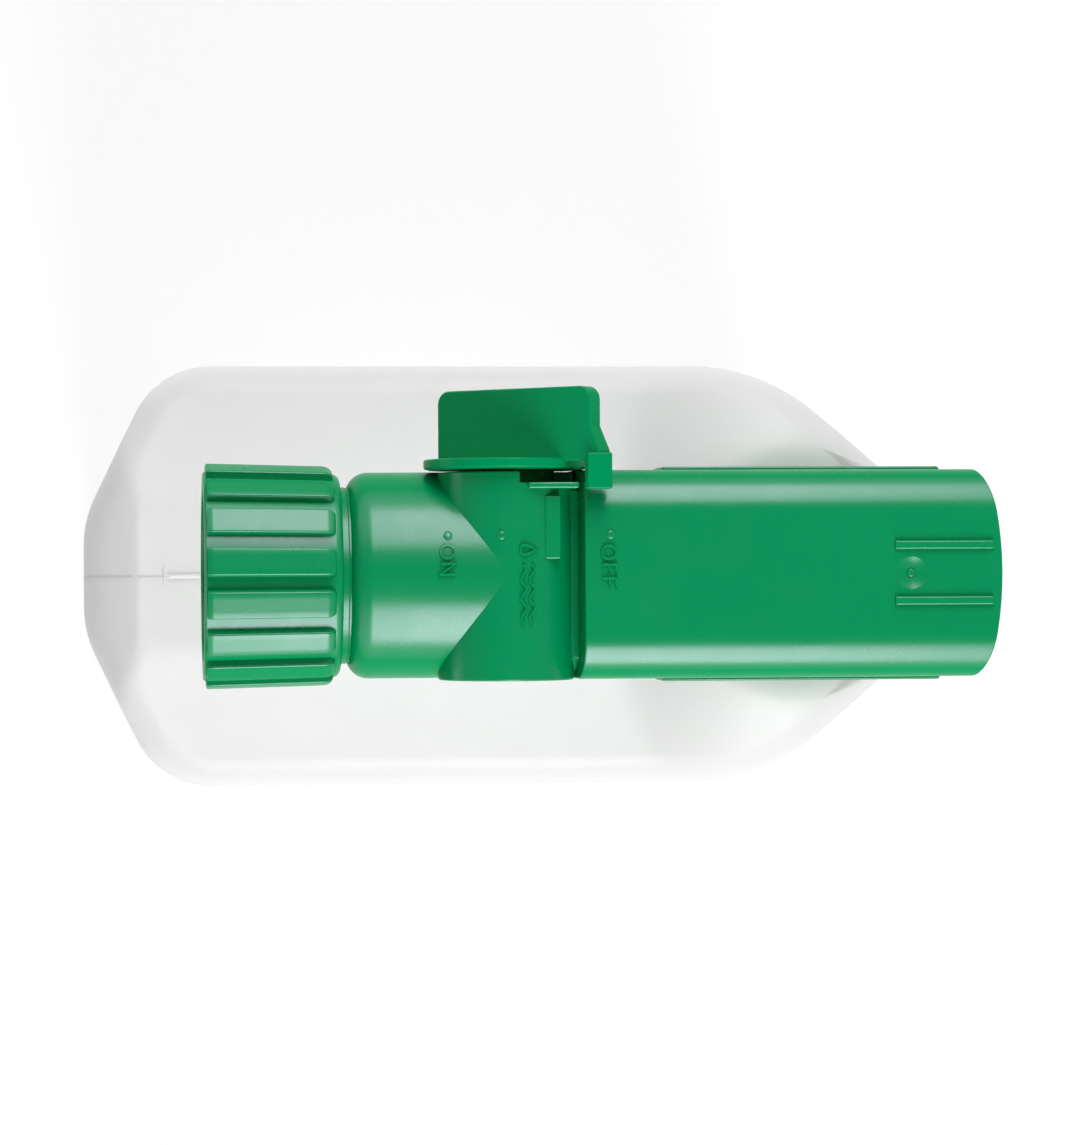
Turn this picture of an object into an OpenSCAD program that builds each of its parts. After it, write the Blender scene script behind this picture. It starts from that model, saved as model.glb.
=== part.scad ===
// Hose-end sprayer bottle: a blow-moulded bottle with a snap-on spray head.
// X points the way the spray leaves, Z is up, the origin is on the ground under the bottle's middle.

/* [Bottle] */
// Length of the bottle, back to nose
bottle_len = 150; // [130:1:190]
// Width of the bottle across its flat sides
bottle_w = 75; // [66:1:95]
// Height of the flat top of the spine
spine_z = 165; // [120:1:210]
// Thickness of the blown wall
bottle_wall = 1.4; // [1:0.1:2]
// Radius of the nose, about the neck's axis
nose_r = 25; // [24:0.5:30]
// Angle of the tapering front walls to the side walls
front_angle = 42; // [36:1:50]
// Radius between the side walls and the front walls
front_corner_r = 32; // [20:1:36]
// Half-width of the flat back wall
back_half = 10; // [6:0.5:14]
// Angle of the back corners' chamfers to the side walls
back_angle = 64; // [55:1:70]
// Radius between the side walls and the chamfers
back_corner_r = 15; // [10:1:20]
// Radius between the chamfers and the back wall
back_edge_r = 20; // [14:1:24]
// Radius of the edge between walls and shoulder
edge_r = 5; // [3.5:0.5:7]
// Radius of the bottom edge
foot_r = 6; // [4:0.5:8]
// Width of the ring that the bottle stands on
foot_w = 4; // [3:0.5:6]
// Height of the raised middle of the base
push_up = 3; // [2:0.5:5]

/* [Bottle top] */
// Half-width of the flat top of the spine
spine_half = 9.7; // [8:0.1:12]
// Width over which the spine rounds into the shoulders
spine_blend = 5; // [3:0.5:8]
// Slope of the shoulders, in degrees
shoulder_slope = 20; // [10:1:26]
// Height of the neck's platform above the spine
platform_rise = 5; // [3:0.5:8]
// Radius of the neck's platform
platform_r = 22.5; // [21:0.5:24]
// Slope of the cone round the platform
cone_slope = 35; // [25:1:42]
// Distance of the spine's end bevel from the back wall
bevel_back = 9.5; // [7:0.5:14]
// Slope of the spine's end bevel
bevel_slope = 48; // [35:1:60]
// Softness of the crease between cone and shoulders
crease_soft = 1.2; // [0.8:0.1:2]

/* [Label panels] */
// Depth of the panels sunk in the side walls
panel_depth = 0.6; // [0.3:0.1:1]
// Width of the step round a panel
panel_step = 1.5; // [1:0.5:3]
// Distance of a panel's front edge from the bottle's middle
panel_front = 25; // [15:1:30]
// Distance of a panel's back edge from the bottle's middle
panel_back = 45; // [30:1:48]
// Lowest edge of a panel
panel_low = 24; // [15:1:40]
// Distance of a panel's top edge below the spine
panel_drop = 27; // [24:1:40]

/* [Neck] */
// Outer radius of the neck
neck_r = 15; // [13.5:0.1:15.2]
// Wall of the neck
neck_wall = 2.5; // [1.8:0.1:3]
// Height of the neck above its platform
neck_h = 22; // [18:0.5:26]
// Height of the snap bead's underside above the platform
bead_z = 7.5; // [6:0.5:9]
// How far the snap bead stands out
bead_out = 0.35; // [0.2:0.05:0.5]
// Height of the snap bead
bead_h = 3; // [2:0.5:4]

/* [Spray head] */
// Height of the inlet tube's axis above the platform
head_rise = 45; // [43:0.5:52]
// Outer radius of the inlet tube
tube_r = 16.8; // [15.8:0.1:18]
// Wall of the inlet tube
tube_wall = 2.5; // [2:0.1:3]
// Distance from the neck's axis back to the valve's axis
valve_setback = 56.2; // [52:0.1:70]
// Distance from the valve's axis back to the tube's end
tube_len = 25.7; // [24:0.1:36]
// Rounding of the tube's end
tube_end_r = 3.6; // [1.5:0.1:4]
// Outer radius of the valve's barrel
barrel_r = 11; // [10:0.1:11.5]
// How far the barrel's top stands over the tube
barrel_proud = 0.06; // [0.04:0.01:0.2]
// Gap between the barrel and the nozzle block
valley_gap = 0.2; // [0.1:0.1:1.5]
// Wall over the water passage, at the bottom of that gap
valley_wall = 1.2; // [0.8:0.1:3]
// Slope of the nozzle block's rear face
block_draft = 3; // [2:1:8]
// Height of the flat deck above the tube's axis
deck_h = 16.5; // [15.5:0.1:17]
// Radius of the deck's long edges
deck_edge_r = 7.2; // [5:0.1:8]
// Radius of the shroud's lower long edges
keel_r = 3; // [2:0.5:4]
// Reach of the deck's front edge past the neck's axis
front_reach = 23.6; // [20:0.2:32]
// Radius of the front edge seen from above
front_r = 60; // [45:1:90]
// Lean of the front face
front_rake = 8; // [4:1:14]
// Wall of the shroud
shroud_wall = 2.2; // [1.8:0.1:3]
// Depth of the mouth behind the deck's front edge
mouth_depth = 17.5; // [15:0.5:20]
// Outer radius of the water tube inside the shroud
boss_r = 8.4; // [8:0.1:9]

/* [Neck skirt] */
// Length of the skirt
skirt_len = 48.4; // [44:0.2:49]
// How far the skirt's sides stand out from the shroud
skirt_proud = 0.9; // [0.4:0.1:1.2]
// Corner radius of the skirt
skirt_corner_r = 8; // [5:0.5:10]
// Gap between the skirt and the bottle's platform
skirt_gap = 1.5; // [1:0.1:3]
// Top of the pads on the shroud's walls, below the tube's axis
pad_top = 6; // [4:0.5:12]
// Reach of the pads behind the neck's axis
pad_back = 28.9; // [24:0.1:29]
// Reach of the pads in front of the neck's axis
pad_front = 19.1; // [16:0.1:20]
// Wall of the neck socket
socket_wall = 1.7; // [1.4:0.1:2]

/* [Rib, plate and deck marks] */
// Distance of the stop rib in front of the valve's axis
stop_x = 5.4; // [5:0.1:7]
// Thickness of the stop rib
stop_t = 2.6; // [1.5:0.1:3]
// Near end of the stop rib
stop_y = 2.5; // [1:0.1:5]
// Length of the stop rib
stop_len = 10.2; // [6:0.2:11]
// Height of the stop rib over the valve's axis
stop_h = 9.7; // [8:0.1:10]
// Inner face of the latch plate
plate_y = 13.8; // [13.2:0.1:14.2]
// Thickness of the latch plate
plate_t = 1; // [0.8:0.1:1.4]
// Distance of the latch plate in front of the valve's axis
plate_x = 2.6; // [2:0.1:4]
// Length of the latch plate
plate_len = 8.2; // [6:0.2:9]
// Height of the latch plate over the valve's axis
plate_h = 11.4; // [11.2:0.1:12]
// Distance of the latch slot's rear end in front of the valve's axis
slot_x = 1.3; // [1:0.1:2]
// Height of the latch slot's floor over the valve's axis
slot_floor = 3; // [1:0.5:6]
// Half-distance between the two ribs of the deck
rail_y = 4.5; // [3.5:0.1:7]
// Width of a deck rib
rail_w = 1.4; // [0.8:0.1:2]
// Height of a deck rib
rail_h = 0.6; // [0.3:0.1:1]
// Length of a deck rib
rail_len = 16.2; // [8:0.1:18]
// Distance of the deck ribs behind the front edge
rail_back = 1.6; // [1:0.1:4]
// Distance of the gate mark behind the front edge
gate_back = 15; // [10:0.5:18]
// Radius of the gate's dimple
gate_r = 2.6; // [2:0.1:3.2]
// Depth of the gate's dimple
gate_depth = 0.5; // [0.3:0.1:0.8]
// Radius of the gate's stub
gate_stub_r = 0.7; // [0.4:0.1:1]

/* [Valve] */
// Radius of the valve's plug
plug_r = 7.93; // [7.2:0.01:8.2]
// Running clearance of the plug in its bore
plug_fit = 0.07; // [0.03:0.01:0.1]
// Wall left at the blind end of the barrel
barrel_end_wall = 3; // [2:0.1:4]
// Radius of the water port
port_r = 3.6; // [3:0.1:4]
// Radius of the rinse port
rinse_r = 2; // [1.4:0.1:2.6]
// Width across the plug's square drive
drive_w = 7; // [6:0.1:8]
// Length of the plug's square drive
drive_len = 3.8; // [3:0.1:4]
// Angle of the knob's pointer above +X with the water shut off
off_angle = 45; // [30:1:50]
// Turn of the knob from shut off to spraying
turn = 90; // [80:1:100]
// Radius of the plug's O-rings' cord
ring_cord_r = 0.7; // [0.5:0.05:0.9]

/* [Knob] */
// Radius of the knob's disc
disc_r = 13.3; // [12.5:0.1:14]
// Thickness of the knob's disc
disc_t = 1.6; // [1.2:0.1:2.4]
// Thickness of the paddle
paddle_t = 3; // [2:0.1:4]
// Paddle's reach behind the axis
paddle_back = 13.2; // [12:0.1:14]
// Paddle's reach in front of the axis, along the pointer
paddle_front = 18.6; // [17:0.1:19]
// Outer edge of the paddle, from the head's middle plane
paddle_out = 30.1; // [25:0.1:34]
// Rounding of the paddle's corners
paddle_corner_r = 2.2; // [1:0.1:4]
// Inner radius of the pointer finger
finger_in = 17.4; // [16:0.1:18]
// Radius of the pointer's tip
pointer_r = 22.1; // [21:0.1:23]
// Width of the arrow-shaped pointer
pointer_w = 5.9; // [4:0.1:6]
// Height of the pointer's shoulder over the disc's inner face
pointer_rise = 2.3; // [2:0.1:2.6]
// Thickness of the pointer finger
finger_t = 2.8; // [2:0.1:3]
// Inner end of the pointer finger, from the head's middle plane
finger_y = 13.6; // [13.2:0.1:14]

/* [Hose coupling] */
// Bore radius of the hose thread, at its roots
thread_r = 13.62; // [13:0.01:14]
// Length of the hose thread
thread_len = 10; // [9:0.5:10.5]
// Outer radius of the nut at its mouth
nut_r = 18.25; // [17.8:0.05:19.5]
// Outer radius of the nut at its inner end
nut_back_r = 17.7; // [17.4:0.05:19]
// Length of the nut
nut_len = 22.1; // [20:0.1:26]
// Number of grip ribs
nut_ribs = 16; // [12:1:20]
// Turn of the nut, from a rib at the top
nut_turn = 7.4; // [0:0.1:22]
// Depth of the grooves between ribs
groove_depth = 0.9; // [0.6:0.1:1.2]
// Width of the grooves between ribs
groove_w = 2.7; // [2:0.1:3.2]
// Rounding of the nut's inner end
nut_end_r = 1.2; // [0.6:0.1:1.6]
// Thickness of the nut's inward flange
nut_flange = 4; // [3:0.1:5]
// Gap between the nut and the inlet tube
nut_gap = 1.1; // [0.8:0.1:2]
// Outer radius of the stem that the nut turns on
stem_r = 10.5; // [9.5:0.1:11]
// Bore radius of the stem
stem_bore_r = 6.5; // [5:0.1:7]
// Thickness of the stem's flange
stem_flange = 2.4; // [2:0.1:3]
// Radius of the collar seen between nut and tube
collar_r = 14.4; // [13.6:0.1:15]
// Thickness of that collar
collar_t = 2; // [1.6:0.1:3]
// Length of the stem's plug inside the tube
stem_plug_len = 7; // [5:0.5:8]
// Thickness of the hose washer
washer_t = 2.8; // [2:0.1:3.2]
// Hole radius of the hose washer
washer_hole_r = 8; // [7:0.1:9]
// Thickness of the filter screen's rim
screen_t = 0.8; // [0.6:0.1:1.2]

/* [Backflow preventer] */
// Thickness of the diaphragm
diaphragm_t = 1.6; // [1.2:0.1:2]
// Radius of the diaphragm
diaphragm_r = 11.5; // [10:0.1:12]
// Thickness of the diaphragm's cage
cage_t = 3.2; // [2.4:0.1:3.6]
// Number of holes in the cage
cage_holes = 6; // [5:1:8]
// Radius of each hole in the cage
cage_hole_r = 2.3; // [1.8:0.1:2.6]
// Outer radius of the port's seal
seat_r = 5.4; // [5:0.1:6]
// Thickness of the port's seal
seat_t = 2.3; // [1.6:0.1:2.4]

/* [Jet, mixer and tip] */
// Radius of the water passage
passage_r = 3; // [2.6:0.1:4.4]
// Radius of the jet insert and the mixing tube
insert_r = 5; // [4.8:0.1:5.6]
// Length of the jet insert
jet_len = 9; // [7:0.5:12]
// Bore radius of the jet
jet_bore_r = 1.1; // [0.8:0.1:1.6]
// Gap between jet and mixing tube, over the suction riser
suction_gap = 4; // [3:0.5:6]
// Bore radius of the mixing tube
mixing_bore_r = 2; // [1.6:0.1:2.6]
// Radius of the spray tip
tip_r = 6.6; // [6:0.1:7.2]
// Length of the spray tip outside the water tube
tip_len = 4; // [3:0.5:5]
// Height of the fan slot in the spray tip
tip_slot = 1.6; // [1:0.1:2.4]
// Radius of the suction riser
riser_r = 2.4; // [1.8:0.1:3]

/* [Suction parts] */
// Thickness of the neck gasket
gasket_t = 1.6; // [1:0.1:2]
// Thickness of the adapter's flange
adapter_flange = 1.6; // [1.2:0.1:2.4]
// Depth of the adapter's skirt in the neck
adapter_depth = 11; // [8:0.5:14]
// Wall of the adapter
adapter_wall = 1.6; // [1.2:0.1:2]
// Radius of the adapter's middle column
column_r = 6; // [5.6:0.1:7]
// Depth of the dip tube's socket
socket_depth = 10; // [8:0.5:14]
// Outer radius of the dip tube
dip_r = 4; // [3:0.1:4.2]
// Wall of the dip tube
dip_wall = 1; // [0.6:0.1:1.2]
// Height of the strainer's foot over the raised base
foot_gap = 1.8; // [1.2:0.1:6]
// Length of the strainer
strainer_len = 12; // [10:0.5:16]
// Wall of the strainer
strainer_wall = 1.2; // [0.8:0.1:1.6]
// Radius of the check ball
ball_r = 2.5; // [2.2:0.1:2.8]
// Radial room round the check ball
ball_room = 0.4; // [0.3:0.05:0.6]
// Lift of the check ball
ball_lift = 1.5; // [1:0.1:2]
// Radius of the hole under the check ball
seat_hole_r = 1.7; // [1.2:0.1:2]
// Thickness of the ball's retainer
retainer_t = 1.2; // [0.8:0.1:1.6]
// Radius of the air vent
vent_r = 0.8; // [0.5:0.1:1]

/* [Hidden] */

// Clearances: loose between pieces that pass each other, snug between pieces pushed together
loose = 0.3;
snug = 0.03;
seat_gap = 0.1;
// Play between pieces and the bottle's neck, which is moulded less exactly
neck_play = 0.2;
// Overrun of a cut past the face that it opens
over = 1;
// How deep a rib or plate is rooted in what it stands on
root = 0.5;

// Colours of the mouldings
head_green = [0.00, 0.42, 0.24];
bottle_white = [0.93, 0.92, 0.93];
seal_black = [0.06, 0.06, 0.07];
natural = [0.86, 0.85, 0.80];
steel = [0.70, 0.71, 0.73];

// Places on the bottle
neck_x = bottle_len / 2 - nose_r;
platform_z = spine_z + platform_rise;
neck_top = platform_z + neck_h;
neck_bore_r = neck_r - neck_wall;
side_y = bottle_w / 2;
chamfer_c = sin(back_angle) * bottle_len / 2 + cos(back_angle) * back_half;

// Places on the head, from the neck's axis and the tube's axis
axis_z = platform_z + head_rise;
valve_x = -valve_setback;
valve_z = tube_r + barrel_proud - barrel_r;
tube_end_x = valve_x - tube_len;
tube_bore_r = tube_r - tube_wall;
plug_bore_r = plug_r + plug_fit;
web = 3;
chamber_x = valve_x - plug_bore_r - web;
block_x = valve_x + barrel_r + valley_gap;
valley_rise = passage_r + valley_wall;
barrel_y = tube_r - 0.2;
barrel_bottom_y = -tube_r - 0.2;
disc_y = tube_r + loose;
socket_r = neck_r + bead_out + loose;
lip_r = neck_r + loose;
lip_top = bead_z - bead_out - loose;
ceiling_z = neck_top + adapter_flange + gasket_t + 3 * seat_gap - axis_z;
skirt_bottom = platform_z + skirt_gap - axis_z;
shroud_y = tube_r + 0.1;
skirt_w = 2 * (shroud_y + skirt_proud);
mouth_x = front_reach - mouth_depth;
jet_front_x = -suction_gap / 2;
jet_back_x = jet_front_x - jet_len;
mixer_back_x = suction_gap / 2;
mixer_front_x = mouth_x + 2;
boss_front_x = mixer_front_x + 4;
tip_front_x = boss_front_x + tip_len;
insert_bore_r = insert_r + snug;

// Places on the coupling
nut_x = tube_end_x - nut_gap;
nut_mouth_x = nut_x - nut_len;
collar_x = tube_end_x - collar_t;
nut_flange_x = collar_x - loose - nut_flange;
stem_flange_x = nut_flange_x - loose - stem_flange;
washer_x = stem_flange_x - loose - washer_t;
screen_x = washer_x - seat_gap - screen_t;
diaphragm_x = tube_end_x + stem_plug_len + loose;
cage_x = chamber_x - loose - cage_t;

// Places on the suction parts
adapter_z = neck_top + seat_gap - axis_z;
column_top = adapter_z + adapter_flange;
retainer_z = column_top - retainer_t;
ball_z = retainer_z - seat_gap - ball_lift - ball_r;
orifice_z = ball_z - sqrt(pow(ball_r, 2) - pow(seat_hole_r, 2)) - seat_gap;
orifice_t = 2;
tube_socket_top = orifice_z - orifice_t;
column_bottom = tube_socket_top - socket_depth;
chamber_r = ball_r + ball_room;
retainer_r = chamber_r + 1;
vent_x = neck_bore_r - 2.5;
gasket_in_r = neck_bore_r - 1.3;
strainer_z = push_up + bottle_wall + foot_gap;

// ---------------------------------------------------------------- helpers

// A child turned so that its Z runs along +X, starting at x
module along_x(x, z = 0) translate([x, 0, z]) rotate([0, 90, 0]) children();

// A child turned so that its Z runs along +Y, starting at y, on the valve's axis
module along_valve(y) translate([valve_x, y, valve_z]) rotate([-90, 0, 0]) children();

// The head's own frame: neck's axis and tube's axis
module head_frame() translate([neck_x, 0, axis_z]) children();

// A ring that is bored through
module ring(r_out, r_in, h) difference() {
  cylinder(r = r_out, h = h, $fn = 96);
  translate([0, 0, -over]) cylinder(r = r_in, h = h + 2 * over, $fn = 96);
}

// A rectangle with true round corners, centred, two radii: far side (+Y) and near side
module rounded(w, h, r_far, r_near) {
  for (s = [-1, 1]) {
    translate([s * (w / 2 - r_far), h / 2 - r_far]) circle(r = r_far, $fn = 64);
    translate([s * (w / 2 - r_near), -h / 2 + r_near]) circle(r = r_near, $fn = 64);
  }
  translate([-w / 2 + r_far, 0]) square([w - 2 * r_far, h / 2]);
  translate([-w / 2 + r_near, -h / 2]) square([w - 2 * r_near, h / 2]);
  translate([-w / 2, -h / 2 + r_near]) square([w, h - r_near - r_far]);
}

function unit(v) = v / norm(v);

// Points of the round corner at p, between the straight lines from a and to b
function corner(a, p, b, r, n) =
  let (u = unit(a - p), v = unit(b - p), half = acos(u * v) / 2,
       c = p + unit(u + v) * r / sin(half),
       s = p + u * r / tan(half) - c,
       start = atan2(s[1], s[0]), sweep = 180 - 2 * half)
  [for (i = [0:n]) c + r * [cos(start + sweep * i / n), sin(start + sweep * i / n)]];

// Points strictly between a and b
function between(a, b, n) = [for (i = [1:n]) a + (b - a) * i / (n + 1)];

function last(list) = list[len(list) - 1];
function mirrored(list) = [for (i = [len(list) - 1:-1:0]) [list[i][0], -list[i][1]]];

// ---------------------------------------------------------------- bottle

corner_min = 1;
function kept(r, d) = max(r - d, corner_min);

// Corner points of the plan, set in by d
function nose_tip(d) = [neck_x + (nose_r - d) / sin(front_angle), 0];
function front_corner(d) =
  [neck_x + (nose_r - d - cos(front_angle) * (side_y - d)) / sin(front_angle), side_y - d];
function back_corner(d) =
  [(cos(back_angle) * (side_y - d) - chamfer_c + d) / sin(back_angle), side_y - d];
function back_edge(d) =
  [-bottle_len / 2 + d, (chamfer_c - d - sin(back_angle) * (bottle_len / 2 - d)) / cos(back_angle)];
function flip(p) = [p[0], -p[1]];

// Side points: the steps of the label panel and what lies between them
side_steps = concat(
  [panel_front, panel_front - panel_step],
  [for (i = [1:4]) panel_front - panel_step - i * (panel_front + panel_back - 2 * panel_step) / 5],
  [-panel_back + panel_step, -panel_back]);

// Half of the plan at +Y, from the nose to the back, set in by d
function half_plan(d) =
  let (nose = corner(flip(front_corner(d)), nose_tip(d), front_corner(d), nose_r - d, 12),
       half_nose = [for (i = [6:12]) nose[i]],
       front = corner(nose_tip(d), front_corner(d), back_corner(d), kept(front_corner_r, d), 6),
       back = corner(front_corner(d), back_corner(d), back_edge(d), kept(back_corner_r, d), 5),
       edge = corner(back_corner(d), back_edge(d), flip(back_edge(d)), kept(back_edge_r, d), 3))
  concat(half_nose, between(last(half_nose), front[0], 3), front,
         between(last(front), [panel_front, side_y - d], 2),
         [for (x = side_steps) [x, side_y - d]], back, edge);

// Whole plan, counter-clockwise from the nose; the point on the axis is used once
function plan(d) =
  let (half = half_plan(d), other = mirrored(half))
  concat(half, [for (i = [0:len(other) - 2]) other[i]]);

// Top surface: flat spine, sloping shoulders, end bevel, and the cone round the platform
function rounded_ramp(t, f) = t <= 0 ? 0 : t >= f ? t - f / 2 : t * t / (2 * f);
function shoulder_z(x, y) =
  min(spine_z - tan(shoulder_slope) * rounded_ramp(abs(y) - spine_half, spine_blend),
      spine_z - tan(bevel_slope) * (bevel_back - bottle_len / 2 - x));
function cone_z(x, y) =
  platform_z - tan(cone_slope) * max(0, norm([x - neck_x, y]) - platform_r);
function soft_max(a, b, k) = b + k * ln(1 + exp((a - b) / k));
function top_z(x, y) = soft_max(cone_z(x, y), shoulder_z(x, y), crease_soft);

// Rings of points: a flat one, the shoulder's rounded edge, the top towards the neck, the neck
function flat_ring(d, z) = [for (p = plan(d)) [p[0], p[1], z]];
function wall_ring(z) = [for (p = plan(0))
  let (sunk = p[0] < panel_front - panel_step / 2 && p[0] > -panel_back + panel_step / 2)
  [p[0], p[1] - (sunk ? sign(p[1]) * panel_depth : 0), z]];
function edge_ring(a, skin) =
  let (r = edge_r - skin)
  [for (p = plan(skin + r * (1 - cos(a)))) [p[0], p[1], top_z(p[0], p[1]) - skin - r * (1 - sin(a))]];
function top_ring(s, skin) = [for (p = plan(edge_r))
  let (c = [neck_x, 0], q = c + unit(p - c) * platform_r, m = p + (q - p) * s)
  [m[0], m[1], top_z(m[0], m[1]) - skin]];
function neck_ring(r, z) = [for (p = plan(edge_r))
  let (c = [neck_x, 0], q = c + unit(p - c) * r) [q[0], q[1], platform_z + z]];

panel_top = spine_z - panel_drop;
neck_fillet = 1.2;
neck_lip = 0.4;
outer_rings = concat(
  [flat_ring(foot_r + foot_w + 5, push_up), flat_ring(foot_r + foot_w, 0), flat_ring(foot_r, 0)],
  [for (a = [30, 60, 90]) flat_ring(foot_r * (1 - sin(a)), foot_r * (1 - cos(a)))],
  [flat_ring(0, panel_low), wall_ring(panel_low + panel_step)],
  [wall_ring(panel_top - panel_step), flat_ring(0, panel_top)],
  [for (a = [0, 25, 50, 90]) edge_ring(a, 0)],
  [for (s = [0.12, 0.26, 0.42, 0.58, 0.72, 0.86, 1]) top_ring(s, 0)],
  [neck_ring(neck_r + neck_fillet, 0.2), neck_ring(neck_r, neck_fillet)],
  [neck_ring(neck_r, bead_z - bead_out), neck_ring(neck_r + bead_out, bead_z)],
  [neck_ring(neck_r + bead_out, bead_z + bead_h - bead_out), neck_ring(neck_r, bead_z + bead_h)],
  [neck_ring(neck_r, neck_h - neck_lip), neck_ring(neck_r - neck_lip, neck_h)]);
inner_rings = concat(
  [neck_ring(neck_bore_r, neck_h), neck_ring(neck_bore_r, -bottle_wall)],
  [for (s = [0.95, 0.7, 0.4, 0.15]) top_ring(s, bottle_wall)],
  [for (a = [90, 50, 0]) edge_ring(a, bottle_wall)],
  [flat_ring(bottle_wall, foot_r), flat_ring(foot_r, bottle_wall)],
  [flat_ring(foot_r + foot_w, bottle_wall), flat_ring(foot_r + foot_w + 5, push_up + bottle_wall)]);

// Skin over a stack of rings: side triangles and both end caps
module skin(rings) {
  n = len(rings[0]);
  m = len(rings);
  sides = [for (k = [0:m - 2], i = [0:n - 1], t = [0, 1])
    let (j = (i + 1) % n, a = k * n, b = a + n)
    t == 0 ? [a + i, b + i, b + j] : [a + i, b + j, a + j]];
  low = [[for (i = [0:n - 1]) i]];
  high = [[for (i = [n - 1:-1:0]) (m - 1) * n + i]];
  polyhedron(points = [for (r = rings, p = r) p], faces = concat(sides, low, high));
}

module bottle() color(bottle_white) skin(concat(outer_rings, inner_rings));

// ---------------------------------------------------------------- spray head

// Inlet tube with its rounded end; past the valve's axis only its lower part goes on as a trunk
module inlet_tube() difference() {
  trunk_end = block_x + 4 - tube_end_x;
  along_x(tube_end_x) rotate_extrude($fn = 128) {
    square([tube_r - tube_end_r, trunk_end]);
    translate([0, tube_end_r]) square([tube_r, trunk_end - tube_end_r]);
    translate([tube_r - tube_end_r, tube_end_r]) circle(r = tube_end_r, $fn = 64);
  }
  translate([valve_x, -2 * tube_r, valve_z + valley_rise]) cube([40, 4 * tube_r, 2 * tube_r]);
}

// Long nozzle block and shroud, before its mouth is opened
module shroud_blank() {
  len_x = front_reach - block_x + 20;
  translate([block_x - 5, 0, 0]) rotate([90, 0, 90]) linear_extrude(len_x)
    rounded(2 * shroud_y, 2 * deck_h, deck_edge_r, keel_r);
}

// Rear face of the block: a slab that leans back
module behind_block() translate([block_x, 0, valve_z]) rotate([0, block_draft, 0])
  translate([-30, -30, -60]) cube([30, 60, 120]);

// Front face: round seen from above, and leaning
module front_form() translate([front_reach, 0, deck_h]) rotate([0, front_rake, 0])
  translate([-front_r, 0, -60]) cylinder(r = front_r, h = 120, $fn = 180);

module shroud() intersection() {
  difference() {
    shroud_blank();
    behind_block();
  }
  front_form();
}

// Skirt round the bottle's neck
module neck_skirt() {
  translate([0, 0, skirt_bottom]) linear_extrude(-deck_h + 1 - skirt_bottom)
    rounded(skirt_len, skirt_w, skirt_corner_r, skirt_corner_r);
}

// Long thin pads on the shroud's walls, over the skirt
module side_pads() intersection() {
  for (s = [-1, 1]) translate([-pad_back, s * (shroud_y + skirt_w / 2 - root) / 2, -deck_h])
    translate([0, -(skirt_proud + root) / 2, 0])
      cube([pad_back + pad_front, skirt_proud + root, deck_h - pad_top]);
  front_form();
}

module stop_rib() translate([valve_x + stop_x, stop_y, valve_z]) cube([stop_t, stop_len, stop_h]);

module latch_plate() translate([valve_x + plate_x, plate_y, valve_z])
  cube([plate_len, plate_t, plate_h]);

module deck_rails() for (s = [-1, 1])
  translate([front_reach - rail_len - rail_back, s * rail_y - rail_w / 2, deck_h - root])
    cube([rail_len, rail_w, rail_h + root]);

// Shallow dimple with the gate's stub in its middle
gate_bowl_r = (pow(gate_r, 2) + pow(gate_depth, 2)) / (2 * gate_depth);
module gate_dimple() translate([front_reach - gate_back, 0, deck_h]) difference() {
  translate([0, 0, gate_bowl_r - gate_depth]) sphere(r = gate_bowl_r, $fn = 96);
  translate([0, 0, -2 * gate_depth]) cylinder(r = gate_stub_r, h = 1.6 * gate_depth, $fn = 24);
}

// Hollow of the mouth, with the end of the water tube standing in it
module mouth() difference() {
  translate([mouth_x, 0, 0]) rotate([90, 0, 90]) linear_extrude(40)
    rounded(2 * (shroud_y - shroud_wall), 2 * (deck_h - shroud_wall), deck_edge_r - shroud_wall, 2);
  along_x(mouth_x - over, valve_z) cylinder(r = boss_r, h = boss_front_x - mouth_x + over, $fn = 96);
}

// Pocket that opens downwards between the valve and the skirt
module keel_pocket() {
  pocket_x = block_x + 3;
  pocket_len = -skirt_len / 2 - 2 - pocket_x;
  pocket_w = 2 * (shroud_y - shroud_wall - 1);
  translate([pocket_x, -pocket_w / 2, -deck_h - over])
    cube([pocket_len, pocket_w, deck_h + over + valve_z - boss_r]);
}

// Socket of the bottle's neck, its snap lip, and the pockets beside it
module neck_socket() {
  lip_z = platform_z + lip_top - axis_z;
  translate([0, 0, skirt_bottom - over])
    cylinder(r = lip_r, h = lip_z - skirt_bottom + 2 * over, $fn = 96);
  difference() {
    translate([0, 0, lip_z]) cylinder(r = socket_r, h = ceiling_z - lip_z, $fn = 96);
    translate([0, 0, column_top + seat_gap]) cylinder(r = column_r, h = 20, $fn = 64);
  }
  pocket_l = skirt_len - 2 * socket_wall;
  pocket_w = skirt_w - 2 * socket_wall - 6;
  difference() {
    translate([-pocket_l / 2, -pocket_w / 2, skirt_bottom - over])
      cube([pocket_l, pocket_w, ceiling_z - skirt_bottom - 1]);
    translate([0, 0, skirt_bottom - 2 * over])
      cylinder(r = socket_r + socket_wall, h = ceiling_z - skirt_bottom + 3 * over, $fn = 96);
  }
}

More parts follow.
